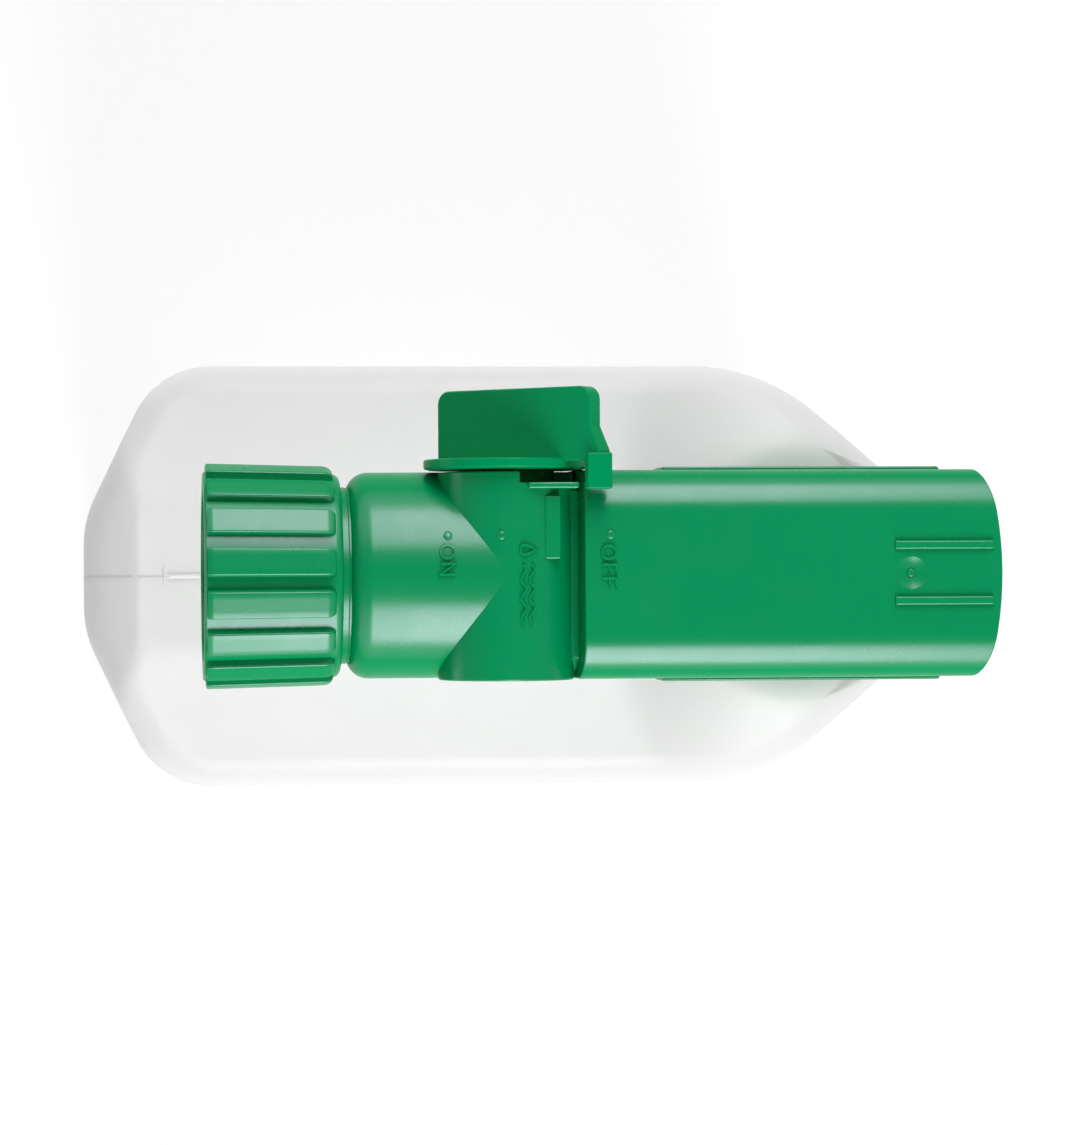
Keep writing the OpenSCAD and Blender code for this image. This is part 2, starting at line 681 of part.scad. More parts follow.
// Everything that the water, the product and the air run through
module waterways() {
  along_x(tube_end_x - over) cylinder(r = tube_bore_r, h = chamber_x - tube_end_x + over, $fn = 96);
  along_x(chamber_x - over, valve_z) cylinder(r = seat_r + snug, h = seat_t + over, $fn = 64);
  along_x(chamber_x, valve_z) cylinder(r = port_r, h = plug_bore_r + web, $fn = 64);
  along_valve(barrel_bottom_y + barrel_end_wall)
    cylinder(r = plug_bore_r, h = barrel_y - barrel_bottom_y - barrel_end_wall + over, $fn = 96);
  along_x(valve_x, valve_z) cylinder(r = passage_r, h = jet_back_x - valve_x + 0.01, $fn = 64);
  along_x(jet_back_x, valve_z)
    cylinder(r = insert_bore_r, h = mixer_front_x - jet_back_x + 0.01, $fn = 64);
  along_x(mixer_front_x, valve_z) cylinder(r = tip_r + snug, h = 10, $fn = 64);
  translate([0, 0, column_top]) cylinder(r = riser_r, h = valve_z - column_top, $fn = 48);
  translate([vent_x, 0, ceiling_z - over])
    cylinder(r = vent_r, h = -deck_h + shroud_wall - ceiling_z + 2 * over, $fn = 24);
}

// Slot behind the latch plate, where the pointer's root passes
module latch_slot() translate([valve_x + slot_x, plate_y + plate_t, valve_z + slot_floor])
  cube([plate_x + plate_len + 2 - slot_x, 10, 30]);

module sprayer_body() color(head_green) head_frame() difference() {
  union() {
    inlet_tube();
    along_valve(barrel_bottom_y) cylinder(r = barrel_r, h = barrel_y - barrel_bottom_y, $fn = 128);
    shroud();
    neck_skirt();
    side_pads();
    stop_rib();
    latch_plate();
    deck_rails();
  }
  mouth();
  gate_dimple();
  latch_slot();
  keel_pocket();
  neck_socket();
  waterways();
}

// ---------------------------------------------------------------- hose coupling

module inlet_stem() color(head_green) head_frame() difference() {
  union() {
    along_x(stem_flange_x) cylinder(r = thread_r - loose, h = stem_flange, $fn = 96);
    along_x(stem_flange_x) cylinder(r = stem_r, h = tube_end_x - stem_flange_x, $fn = 96);
    along_x(collar_x) cylinder(r = collar_r, h = collar_t, $fn = 96);
    along_x(tube_end_x - over) cylinder(r = tube_bore_r - snug, h = stem_plug_len + over, $fn = 96);
  }
  along_x(stem_flange_x - over)
    cylinder(r = stem_bore_r, h = tube_end_x + stem_plug_len - stem_flange_x + 2 * over, $fn = 96);
}

// Tapered outside of the nut with its rounded inner end
module nut_blank() along_x(nut_mouth_x) rotate_extrude($fn = 128) {
  polygon([[0, 0], [nut_r, 0], [nut_back_r, nut_len - nut_end_r], [0, nut_len - nut_end_r]]);
  square([nut_back_r - nut_end_r, nut_len]);
  translate([nut_back_r - nut_end_r, nut_len - nut_end_r]) circle(r = nut_end_r, $fn = 48);
}

// Grooves between the ribs: flat-bottomed, following the taper
module nut_grooves() {
  taper = atan((nut_r - nut_back_r) / nut_len);
  for (i = [0:nut_ribs - 1]) rotate([360 / nut_ribs * (i + 0.5) - nut_turn, 0, 0])
    translate([nut_mouth_x, 0, nut_r - groove_depth]) rotate([0, taper, 0])
      translate([-over, -groove_w / 2, 0]) cube([nut_len + 2 * over, groove_w, 5]);
}

module hose_nut() color(head_green) head_frame() difference() {
  nut_blank();
  nut_grooves();
  along_x(nut_mouth_x - over) cylinder(r = thread_r, h = thread_len + over, $fn = 96);
  along_x(nut_mouth_x + thread_len)
    cylinder(r = thread_r + 0.5, h = nut_flange_x - nut_mouth_x - thread_len, $fn = 96);
  along_x(nut_flange_x - over) cylinder(r = stem_r + loose, h = nut_flange + 3 * over, $fn = 96);
  along_x(nut_flange_x + nut_flange) cylinder(r = collar_r + 2 * loose, h = 10, $fn = 96);
}

module hose_washer() color(seal_black) head_frame()
  along_x(washer_x) ring(thread_r - loose, washer_hole_r, washer_t);

// Strainer: a flat rim and a slotted cup that stands in the stem's bore
module filter_screen() color(natural) head_frame() {
  cup_r = stem_bore_r - loose;
  cup_len = washer_t + 4;
  along_x(screen_x) difference() {
    union() {
      cylinder(r = thread_r - loose, h = screen_t, $fn = 96);
      cylinder(r = cup_r, h = screen_t + cup_len, $fn = 64);
    }
    translate([0, 0, -over]) cylinder(r = cup_r - 0.8, h = cup_len + over, $fn = 64);
    for (a = [0:30:150]) rotate([0, 0, a]) translate([-cup_r - over, -0.5, screen_t + 0.8])
      cube([2 * cup_r + 2 * over, 1, cup_len - 1.6]);
    for (x = [-3.6:1.8:3.6]) translate([x - 0.45, -3.6, cup_len - over]) cube([0.9, 7.2, 4]);
  }
}

// ---------------------------------------------------------------- backflow preventer

module backflow_diaphragm() color(seal_black) head_frame()
  along_x(diaphragm_x) cylinder(r = diaphragm_r, h = diaphragm_t, $fn = 96);

module diaphragm_cage() color(natural) head_frame() along_x(cage_x) difference() {
  cylinder(r = tube_bore_r - snug, h = cage_t, $fn = 96);
  for (i = [0:cage_holes - 1]) rotate([0, 0, 360 / cage_holes * i])
    translate([tube_bore_r / 2 + 1.2, 0, -over]) cylinder(r = cage_hole_r, h = cage_t + 2 * over, $fn = 48);
  translate([0, 0, -over]) cylinder(r = cage_hole_r, h = cage_t + 2 * over, $fn = 48);
}

module valve_seat() color(seal_black) head_frame()
  along_x(chamber_x, valve_z) ring(seat_r, port_r, seat_t);

// ---------------------------------------------------------------- valve

plug_y = barrel_bottom_y + barrel_end_wall + seat_gap;
hub_y = disc_y - drive_len;
ring_y = [plug_y + 3.2, hub_y - 3.2];
ring_major = plug_bore_r - 0.05 - ring_cord_r;
groove_root = ring_major - ring_cord_r - 0.05;
paddle_y = disc_y + disc_t - root;
paddle_tip = pointer_r - paddle_t / 2;

// A child seen from the valve's axis, its X along the knob's pointer
module knob_frame() translate([valve_x, 0, valve_z]) rotate([0, -off_angle, 0]) children();

// A port through the plug that lines up with the flow after the knob has turned by a
module plug_port(r, a) translate([valve_x, 0, valve_z]) rotate([0, a, 0])
  translate([-plug_r - over, 0, 0]) rotate([0, 90, 0]) cylinder(r = r, h = 2 * plug_r + 2 * over, $fn = 64);

module valve_plug() color(natural) head_frame() difference() {
  union() {
    along_valve(plug_y) cylinder(r = plug_r, h = hub_y - seat_gap - plug_y, $fn = 96);
    knob_frame() translate([-drive_w / 2, hub_y - 2 * over, -drive_w / 2])
      cube([drive_w, drive_len + disc_t / 2 - seat_gap + 2 * over, drive_w]);
  }
  plug_port(port_r, turn);
  plug_port(rinse_r, turn / 2);
  for (y = ring_y) along_valve(y - ring_cord_r - 0.1)
    ring(plug_r + over, groove_root, 2 * ring_cord_r + 0.2);
}

module plug_ring(y) color(seal_black) head_frame() along_valve(y)
  rotate_extrude($fn = 96) translate([ring_major, 0]) circle(r = ring_cord_r, $fn = 32);
module plug_ring_inner() plug_ring(ring_y[0]);
module plug_ring_outer() plug_ring(ring_y[1]);

// Outline of the paddle, from the disc outwards, with two round corners
function paddle_outline() = concat(
  [[-paddle_back, paddle_y], [paddle_tip, paddle_y], [paddle_tip, disc_y + 2.6],
   [paddle_front, disc_y + 6.6]],
  corner([paddle_front, 0], [paddle_front, paddle_out], [0, paddle_out], paddle_corner_r, 8),
  corner([0, paddle_out], [-paddle_back, paddle_out], [-paddle_back, 0], paddle_corner_r, 8));

// Arrow-shaped pointer: its stem, and a tip whose two faces meet at a right angle
module pointer() translate([0, finger_y, 0]) rotate([-90, 0, 0])
  linear_extrude(disc_y + pointer_rise - finger_y) polygon([
    [finger_in, finger_t / 2], [pointer_r - pointer_w / 2, finger_t / 2],
    [pointer_r - pointer_w / 2, pointer_w / 2], [pointer_r, 0],
    [pointer_r - pointer_w / 2, -pointer_w / 2], [pointer_r - pointer_w / 2, -finger_t / 2],
    [finger_in, -finger_t / 2]]);

module valve_knob() color(head_green) head_frame() difference() {
  union() {
    along_valve(disc_y) cylinder(r = disc_r, h = disc_t, $fn = 128);
    along_valve(hub_y) cylinder(r = plug_r, h = drive_len + over, $fn = 96);
    knob_frame() linear_extrude(paddle_t, center = true) polygon(paddle_outline());
    knob_frame() pointer();
  }
  knob_frame() translate([-drive_w / 2 - snug, hub_y - over, -drive_w / 2 - snug])
    cube([drive_w + 2 * snug, drive_len + disc_t / 2 + over, drive_w + 2 * snug]);
}

// ---------------------------------------------------------------- jet, mixer and tip

module jet_insert() color(natural) head_frame() along_x(jet_back_x + seat_gap, valve_z) difference() {
  h = jet_len - seat_gap;
  cylinder(r = insert_r, h = h, $fn = 64);
  translate([0, 0, -over]) cylinder(r = jet_bore_r, h = h + 2 * over, $fn = 48);
  translate([0, 0, -0.01]) cylinder(r1 = passage_r, r2 = jet_bore_r, h = h - 3, $fn = 48);
}

module mixing_tube() color(natural) head_frame() along_x(mixer_back_x, valve_z) difference() {
  h = mixer_front_x - mixer_back_x;
  cylinder(r = insert_r, h = h, $fn = 64);
  translate([0, 0, -over]) cylinder(r = mixing_bore_r, h = h + 2 * over, $fn = 48);
}

// Fan tip: a plug with a round bore that opens into a flat slot
module spray_tip() color(head_green) head_frame() difference() {
  h = tip_front_x - mixer_front_x - seat_gap;
  along_x(mixer_front_x + seat_gap, valve_z) cylinder(r = tip_r, h = h, $fn = 96);
  along_x(mixer_front_x - over, valve_z) cylinder(r = mixing_bore_r, h = h, $fn = 48);
  translate([tip_front_x - 3, -tip_r - over, valve_z - tip_slot / 2])
    cube([3 + over, 2 * tip_r + 2 * over, tip_slot]);
}

// ---------------------------------------------------------------- suction parts

module neck_gasket() color(seal_black) head_frame() translate([0, 0, column_top + seat_gap])
  ring(neck_r - seat_gap, gasket_in_r, gasket_t);

module suction_adapter() color(natural) head_frame() difference() {
  union() {
    translate([0, 0, adapter_z]) cylinder(r = neck_r - seat_gap, h = adapter_flange, $fn = 96);
    translate([0, 0, adapter_z - adapter_depth])
      ring(neck_bore_r - neck_play, neck_bore_r - adapter_wall, adapter_depth + over);
    translate([0, 0, column_bottom]) cylinder(r = column_r, h = column_top - column_bottom, $fn = 96);
  }
  translate([0, 0, column_bottom - over]) cylinder(r = dip_r + snug, h = socket_depth + over, $fn = 64);
  translate([0, 0, column_bottom]) cylinder(r = seat_hole_r, h = socket_depth + orifice_t + over, $fn = 48);
  translate([0, 0, orifice_z]) cylinder(r = chamber_r, h = 20, $fn = 64);
  translate([0, 0, retainer_z]) cylinder(r = retainer_r + snug, h = 20, $fn = 64);
  translate([vent_x, 0, adapter_z - over]) cylinder(r = vent_r, h = 10, $fn = 24);
}

module check_ball() color(steel) head_frame() translate([0, 0, ball_z]) sphere(r = ball_r, $fn = 64);

module ball_retainer() color(natural) head_frame() translate([0, 0, retainer_z]) difference() {
  cylinder(r = retainer_r, h = retainer_t, $fn = 64);
  for (i = [0:3]) rotate([0, 0, 90 * i + 45]) translate([1.6, 0, -over])
    cylinder(r = 0.7, h = retainer_t + 2 * over, $fn = 24);
}

// Dip tube, from its socket down into the strainer
tube_bottom = strainer_z + strainer_len / 2 - axis_z;
module dip_tube() color(natural) head_frame() translate([0, 0, tube_bottom])
  ring(dip_r, dip_r - dip_wall, tube_socket_top - seat_gap - tube_bottom);

module tube_strainer() color(natural) translate([neck_x, 0, strainer_z]) difference() {
  r_in = dip_r + snug;
  cylinder(r = r_in + strainer_wall, h = strainer_len, $fn = 64);
  translate([0, 0, strainer_len / 2 - seat_gap]) cylinder(r = r_in, h = strainer_len, $fn = 64);
  translate([0, 0, strainer_wall]) cylinder(r = r_in - dip_wall, h = strainer_len, $fn = 64);
  for (a = [0, 60, 120]) rotate([0, 0, a]) translate([-10, -0.6, strainer_wall + 0.4])
    cube([20, 1.2, strainer_len / 2 - strainer_wall - 1.4]);
}

bottle();
sprayer_body();
hose_nut();
inlet_stem();
hose_washer();
filter_screen();
backflow_diaphragm();
diaphragm_cage();
valve_seat();
valve_plug();
plug_ring_inner();
plug_ring_outer();
valve_knob();
jet_insert();
mixing_tube();
spray_tip();
neck_gasket();
suction_adapter();
check_ball();
ball_retainer();
dip_tube();
tube_strainer();
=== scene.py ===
"""Finishes, fine meshes, marks and studio of a hose-end sprayer bottle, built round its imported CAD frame.

Sizes are millimetres until a mesh is made, and metres in Blender. +X is the way the spray leaves, +Y the
knob's side, +Z up, and the origin is on the ground under the bottle's middle.
"""

import logging
import math
from dataclasses import dataclass, field, replace
from enum import Enum
from typing import Any, Callable, Optional, Sequence

import bmesh
import bpy
import numpy as np
from mathutils import Matrix, Vector
from mathutils.bvhtree import BVHTree


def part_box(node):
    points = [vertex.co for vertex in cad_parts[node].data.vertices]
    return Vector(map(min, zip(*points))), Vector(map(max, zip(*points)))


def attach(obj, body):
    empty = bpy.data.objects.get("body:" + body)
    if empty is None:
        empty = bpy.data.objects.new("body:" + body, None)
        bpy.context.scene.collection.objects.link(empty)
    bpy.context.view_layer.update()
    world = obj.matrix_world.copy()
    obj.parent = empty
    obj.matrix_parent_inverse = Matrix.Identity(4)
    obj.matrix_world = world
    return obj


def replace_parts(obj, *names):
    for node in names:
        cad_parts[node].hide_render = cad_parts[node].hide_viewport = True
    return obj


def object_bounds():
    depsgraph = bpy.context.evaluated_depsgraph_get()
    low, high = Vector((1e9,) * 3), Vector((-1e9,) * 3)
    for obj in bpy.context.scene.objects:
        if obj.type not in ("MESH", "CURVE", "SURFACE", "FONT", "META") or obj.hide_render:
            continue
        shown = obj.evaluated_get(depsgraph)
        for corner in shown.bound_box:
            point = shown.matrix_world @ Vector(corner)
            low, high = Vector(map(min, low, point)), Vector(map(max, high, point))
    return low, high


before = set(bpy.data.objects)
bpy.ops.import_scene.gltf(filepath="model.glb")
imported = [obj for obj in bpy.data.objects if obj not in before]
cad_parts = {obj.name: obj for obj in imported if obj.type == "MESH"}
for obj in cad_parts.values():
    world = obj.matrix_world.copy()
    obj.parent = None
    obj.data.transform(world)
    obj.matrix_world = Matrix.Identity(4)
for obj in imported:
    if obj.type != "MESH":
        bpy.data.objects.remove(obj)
CAD_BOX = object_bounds()

MM = 0.001
TURN = 2 * math.pi
QUARTER = math.pi / 2
EDGE_FOLD = 30.0  # degrees over which an outer edge of a moulding is rounded
RIM_FOLD = 14.0  # degrees over which a lower outer edge stays crisp
CREASE_FOLD = 8.0  # degrees over which an inner corner stays crisp
FLAT_FOLD = 0.5  # degrees up to which CAD facets count as one face
MERGE_MM = 0.001  # distance up to which CAD points count as one
RIM_FADE = (0.25, 0.46)  # facing weights, 0 straight on, between which the gloss falls off
RIDGE_SECTION = ((-0.36, 0.8), (-0.24, 1.0), (0.24, 1.0), (0.36, 0.8))  # shares of width and height
MIN_MITRE = 0.4  # least cosine that widens a ridge at a corner
DOME_SECTION = ((0.94, 0.35), (0.78, 0.75), (0.45, 0.96), (0.05, 1.0))  # shares of radius and height
SEAM_SECTION = ((-0.5, -0.3), (-0.35, 0.6), (0.0, 1.0), (0.35, 0.6), (0.5, -0.3))
log = logging.getLogger("sprayer_bottle")


class Body(Enum):
    """Bodies of the frame that pieces ride on."""

    HEAD_AND_BOTTLE = "head_and_bottle"
    VALVE = "valve"
    COUPLING = "coupling"


class Slot(Enum):
    """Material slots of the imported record."""

    BOTTLE = "bottle_hdpe"
    HEAD = "head_pp"
    SEAL = "seal_rubber"
    NATURAL = "natural_plastic"
    BALL = "ball_steel"


# Nodes and colours


def add_node(
    tree: bpy.types.NodeTree, kind: str, inputs: Optional[dict[Any, Any]] = None, **settings: Any
) -> bpy.types.Node:
    """Adds a node with its settings, and sets or links its inputs.

    Args:
        tree: The tree that takes the node.
        kind: Blender's name of the node type.
        inputs: Values, or the sockets to link, by input name or number.
        **settings: Properties of the node.

    Returns:
        The new node.
    """
    node = tree.nodes.new(kind)
    for key, value in settings.items():
        setattr(node, key, value)
    for key, value in (inputs or {}).items():
        if isinstance(value, bpy.types.NodeSocket):
            tree.links.new(value, node.inputs[key])
        else:
            node.inputs[key].default_value = value
    return node


def blank_tree(holder: Any) -> bpy.types.NodeTree:
    """Turns on the nodes of a material or world and takes out the ones that it comes with.

    Args:
        holder: The material or world.

    Returns:
        Its empty tree.
    """
    holder.use_nodes = True
    holder.node_tree.nodes.clear()
    return holder.node_tree


def stood(name: str, data: bpy.types.ID) -> bpy.types.Object:
    """Stands a mesh, light or camera in the scene as an object.

    Args:
        name: The object's name.
        data: What it shows.

    Returns:
        The object.
    """
    made = bpy.data.objects.new(name, data)
    bpy.context.scene.collection.objects.link(made)
    return made


def open_tree(name: str, sockets: dict[str, str]) -> tuple[bpy.types.NodeTree, Any]:
    """Starts a geometry tree with named inputs and one geometry output.

    Args:
        name: The tree's name.
        sockets: The kind of each input socket, by its name.

    Returns:
        The tree, and its inputs as sockets to link from.
    """
    tree = bpy.data.node_groups.new(name, "GeometryNodeTree")
    for label, kind in sockets.items():
        tree.interface.new_socket(label, in_out="INPUT", socket_type=f"NodeSocket{kind}")
    tree.interface.new_socket("Geometry", in_out="OUTPUT", socket_type="NodeSocketGeometry")
    return tree, add_node(tree, "NodeGroupInput").outputs


def close_tree(
    tree: bpy.types.NodeTree, shape: bpy.types.NodeSocket, finish: bpy.types.NodeSocket
) -> bpy.types.NodeTree:
    """Ends a geometry tree: makes its copies real, gives them their finish and puts them out.

    Args:
        tree: The tree.
        shape: The geometry so far.
        finish: The input that holds the material.

    Returns:
        The tree.
    """
    solid = add_node(tree, "GeometryNodeRealizeInstances", {"Geometry": shape}).outputs[0]
    dressed = add_node(tree, "GeometryNodeSetMaterial", {"Geometry": solid, "Material": finish})
    add_node(tree, "NodeGroupOutput", {"Geometry": dressed.outputs[0]})
    return tree


def linear(hex_colour: str) -> tuple[float, float, float, float]:
    """Turns an sRGB colour into a linear one.

    Args:
        hex_colour: Such as #B4B4B4.

    Returns:
        Red, green, blue and an alpha of 1.
    """
    parts = [int(hex_colour[i : i + 2], 16) / 255 for i in (1, 3, 5)]
    red, green, blue = (c / 12.92 if c <= 0.04045 else ((c + 0.055) / 1.055) ** 2.4 for c in parts)
    return red, green, blue, 1.0


# Finishes


@dataclass(frozen=True)
class Grain:
    """A noise relief: the size of its bumps, their height, and how they are drawn out along each axis."""

    size_mm: float
    height_mm: float
    stretch: tuple[float, float, float] = (1.0, 1.0, 1.0)
    detail: float = 2.0


@dataclass(frozen=True)
class Moulded:
    """A moulded plastic, rubber or lapped steel: colour drift, gloss that varies, and a fine relief."""

    name: str
    colour: str
    drift_colour: str
    roughness: float
    ior: float
    grains: tuple[Grain, ...]
    drift_mm: float = 16.0
    gloss_swing: float = 0.06
    gloss_patch_mm: float = 5.0
    drift_detail: float = 3.0
    gloss_detail: float = 4.0
    metallic: float = 0.0
    specular: float = 0.5
    rim_specular: Optional[float] = None
    # Tint of the gloss; any tint other than white paints the lamps' colour into their reflections
    gloss_lamp_tint: str = "#FFFFFF"
    glow: float = 0.0
    glow_mm: float = 1.0

    def material(self) -> bpy.types.Material:
        """Builds the material's nodes.

        Returns:
            The material, made once for each finish.
        """
        known = bpy.data.materials.get(self.name)
        if known is not None:
            return known
        made = bpy.data.materials.new(self.name)
        tree = blank_tree(made)
        place = add_node(tree, "ShaderNodeTexCoord").outputs["Object"]
        noises = []
        for size, detail in ((self.drift_mm, self.drift_detail), (self.gloss_patch_mm, self.gloss_detail)):
            shape = {"Vector": place, "Scale": 1 / (size * MM), "Detail": detail}
            noises.append(add_node(tree, "ShaderNodeTexNoise", shape).outputs["Fac"])
        drift, patch = noises
        ends = {0: drift, 6: linear(self.colour), 7: linear(self.drift_colour)}
        colour = add_node(tree, "ShaderNodeMix", ends, data_type="RGBA").outputs[2]
        low, high = self.roughness - self.gloss_swing, self.roughness + self.gloss_swing
        gloss = add_node(tree, "ShaderNodeMapRange", {"Value": patch, "To Min": low, "To Max": high})
        skin = {
            "Base Color": colour,
            "Roughness": gloss.outputs[0],
            "IOR": self.ior,
            "Metallic": self.metallic,
            "Specular IOR Level": self.specular,
            "Specular Tint": linear(self.gloss_lamp_tint),
            "Subsurface Weight": self.glow,
            "Subsurface Scale": self.glow_mm * MM,
            "Subsurface Radius": (1.0, 1.0, 1.0),
        }
        if self.rim_specular is not None:
            facing = add_node(tree, "ShaderNodeLayerWeight").outputs["Facing"]
            near, far = RIM_FADE
            fall = {"Value": facing, "From Min": near, "From Max": far}
            fall |= {"To Min": self.specular, "To Max": self.rim_specular}
            faded = add_node(tree, "ShaderNodeMapRange", fall, interpolation_type="SMOOTHSTEP")
            skin["Specular IOR Level"] = faded.outputs[0]
        for grain in self.grains:
            skin["Normal"] = self.relief(tree, place, grain, skin.get("Normal"))
        shader = add_node(tree, "ShaderNodeBsdfPrincipled", skin)
        add_node(tree, "ShaderNodeOutputMaterial", {"Surface": shader.outputs[0]})
        return made

    @staticmethod
    def relief(
        tree: bpy.types.NodeTree,
        place: bpy.types.NodeSocket,
        grain: Grain,
        under: Optional[bpy.types.NodeSocket],
    ) -> bpy.types.NodeSocket:
        """Adds one relief on top of another.

        Args:
            tree: The material's tree.
            place: Object coordinates.
            grain: The relief to add.
            under: The normal of the relief below, if there is one.

        Returns:
            The normal with the relief in it.
        """
        spread = add_node(tree, "ShaderNodeMapping", {"Vector": place, "Scale": grain.stretch}).outputs[0]
        shape = {"Vector": spread, "Scale": 1 / (grain.size_mm * MM), "Detail": grain.detail}
        noise = add_node(tree, "ShaderNodeTexNoise", shape)
        inputs = {"Height": noise.outputs["Fac"], "Distance": grain.height_mm * MM}
        if under is not None:
            inputs["Normal"] = under
        return add_node(tree, "ShaderNodeBump", inputs).outputs[0]


# Injection-moulded polypropylene: a saturated green with a satin skin, long soft flow waves along the
# head, and a gloss that falls off where the skin turns away, so that its rims stay deep green
GREEN_PP = Moulded(
    name="Polypropylene, injection moulded, green",
    colour="#009C5E",
    drift_colour="#00985B",
    roughness=0.28,
    ior=1.49,
    specular=0.8,
    rim_specular=0.04,
    # Lavender gloss tint: the soft boxes' cool reflections, painted into the plastic
    gloss_lamp_tint="#EDE8FF",
    grains=(Grain(size_mm=11.0, height_mm=0.03, stretch=(0.35, 1.0, 1.0), detail=0.0),),
    gloss_patch_mm=7.0,
)
# The same polypropylene with hardly any white gloss: a shaded copy of the head's green that paints the shade
# the knob sits in, so the knob's flats read darker
KNOB_PP = replace(GREEN_PP, name="Polypropylene, low gloss for painted shade, green", specular=0.12)
# Blow-moulded polyethylene: waxy white that lets some light into the wall, with slow waves along the
# wall and an orange-peel skin
WHITE_HDPE = Moulded(
    name="HDPE, blow moulded, white",
    colour="#F8F5F6",
    drift_colour="#F5F2F3",
    roughness=0.42,
    ior=1.54,
    grains=(
        Grain(size_mm=14.0, height_mm=0.08, stretch=(1.0, 1.0, 0.3)),
        Grain(size_mm=1.1, height_mm=0.006, detail=3.0),
    ),
    drift_mm=30.0,
    glow=0.3,
    glow_mm=4.0,
)
# Moulded EPDM: near-black rubber with a dull, slightly powdery surface
BLACK_EPDM = Moulded(
    name="EPDM rubber, moulded, black",
    colour="#151517",
    drift_colour="#1C1C1F",
    roughness=0.68,
    ior=1.52,
    grains=(Grain(size_mm=0.5, height_mm=0.01, detail=4.0),),
    drift_mm=6.0,
)
# Natural acetal and polyethylene: milky off-white, a little light goes in
NATURAL_POM = Moulded(
    name="Acetal, moulded, natural",
    colour="#DBD8C9",
    drift_colour="#E0DDD0",
    roughness=0.38,
    ior=1.48,
    grains=(Grain(size_mm=0.6, height_mm=0.004, detail=3.0),),
    drift_mm=8.0,
    glow=0.1,
    glow_mm=1.2,
)
# Polished stainless steel: bright, with the finest lapping haze
BALL_STEEL = Moulded(
    name="Stainless steel, polished",
    colour="#C3C5C8",
    drift_colour="#BDBFC3",
    roughness=0.16,
    ior=1.5,
    grains=(Grain(size_mm=0.3, height_mm=0.0008),),
    gloss_swing=0.04,
    metallic=1.0,
)

FINISH_OF_SLOT = {
    Slot.BOTTLE: WHITE_HDPE,
    Slot.HEAD: GREEN_PP,
    Slot.SEAL: BLACK_EPDM,
    Slot.NATURAL: NATURAL_POM,
    Slot.BALL: BALL_STEEL,
}


# Forms


@dataclass
class Form:
    """Points in millimetres and the faces between them."""

    points: list[Sequence[float]] = field(default_factory=list)
    faces: list[Sequence[int]] = field(default_factory=list)

    def add(self, other: "Form") -> None:
        """Takes in another form's points and faces.

        Args:
            other: The form to take in.
        """
        start = len(self.points)
        self.points.extend(tuple(p) for p in other.points)
        self.faces.extend([i + start for i in face] for face in other.faces)

    def mesh(self, name: str) -> bpy.types.Mesh:
        """A mesh of the form, in metres.

        Args:
            name: The mesh's name.

        Returns:
            The mesh.
        """
        mesh = bpy.data.meshes.new(name)
        mesh.from_pydata((np.array(self.points, float).reshape(-1, 3) * MM).tolist(), [], self.faces)
        return mesh


def turn_angles(steps: int) -> np.ndarray:
    """Evenly spaced angles over a full turn."""
    return np.linspace(0, TURN, steps, endpoint=False)


def unit(rows: np.ndarray) -> np.ndarray:
    """Vectors in rows, or a single vector, at length 1."""
    return rows / np.linalg.norm(rows, axis=-1, keepdims=True)


def quarter_arc(radius: float, steps: int, start: float = 0.0) -> list[tuple[float, float]]:
    """Points of a rounded corner, each as its distances in from the corner's two sides."""
    angles = np.linspace(start, QUARTER, steps)
    return [(radius * (1 - math.sin(a)), radius * (1 - math.cos(a))) for a in angles]


def grid(rings: np.ndarray, looped: bool = False) -> Form:
    """Quads over a stack of closed rings.

    Args:
        rings: An array of rings, points and coordinates.
        looped: Whether the last ring joins the first; if not, one face closes each end.

    Returns:
        The form, with its faces outwards where a ring runs anticlockwise seen from the last ring.
    """
    count, size = rings.shape[:2]
    faces: list[Sequence[int]] = []
    for k in range(count if looped else count - 1):
        here, above = k * size, (k + 1) % count * size
        for i in range(size):
            j = (i + 1) % size
            faces.append((here + i, here + j, above + j, above + i))
    if not looped:
        faces.append(tuple(range(size - 1, -1, -1)))
        faces.append(tuple((count - 1) * size + i for i in range(size)))
    return Form([tuple(p) for p in rings.reshape(-1, 3)], faces)


def revolved(
    profile: Sequence[tuple[float, float]], steps: int, start: Sequence[float], turn: Matrix
) -> Form:
    """Turns a closed profile about an axis.

    Args:
        profile: (place along the axis, radius) points of a closed outline.
        steps: Points round the axis.
        start: Where the axis starts.
        turn: The rotation that takes +Z to the axis.

    Returns:
        The turned form.
    """
    rings = []
    for angle in turn_angles(steps):
        ring = [turn @ Vector((r * math.cos(angle), r * math.sin(angle), h)) for h, r in profile]
        rings.append([tuple(p + Vector(start)) for p in ring])
    return grid(np.array(rings), looped=True)


def ridge(path: Sequence[Sequence[float]], width: float, height: float, sink: float, closed: bool) -> Form:
    """A low ridge along a flat path, narrower at its top.

    Args:
        path: (x, y) points.
        width: Width at the foot.
        height: Height of the top.
        sink: Depth of the foot under the surface.
        closed: Whether the path returns to its first point.

    Returns:
        The ridge, with its height over the surface as z.
    """
    line = np.array(path, float)
    ahead = np.roll(line, -1, axis=0) - line
    behind = line - np.roll(line, 1, axis=0)
    if not closed:
        ahead[-1] = behind[-1]
        behind[0] = ahead[0]
    ahead = unit(ahead)
    along = unit(ahead + unit(behind))
    across = np.stack([-along[:, 1], along[:, 0]], axis=1)
    across /= np.maximum(np.abs((along * ahead).sum(1)), MIN_MITRE)[:, None]
    section = [(-0.5, -sink), *((s, h * height) for s, h in RIDGE_SECTION), (0.5, -sink)]
    rings = [[(*(p + n * width * s), h) for s, h in section] for p, n in zip(line, across)]
    return grid(np.array(rings), looped=closed)


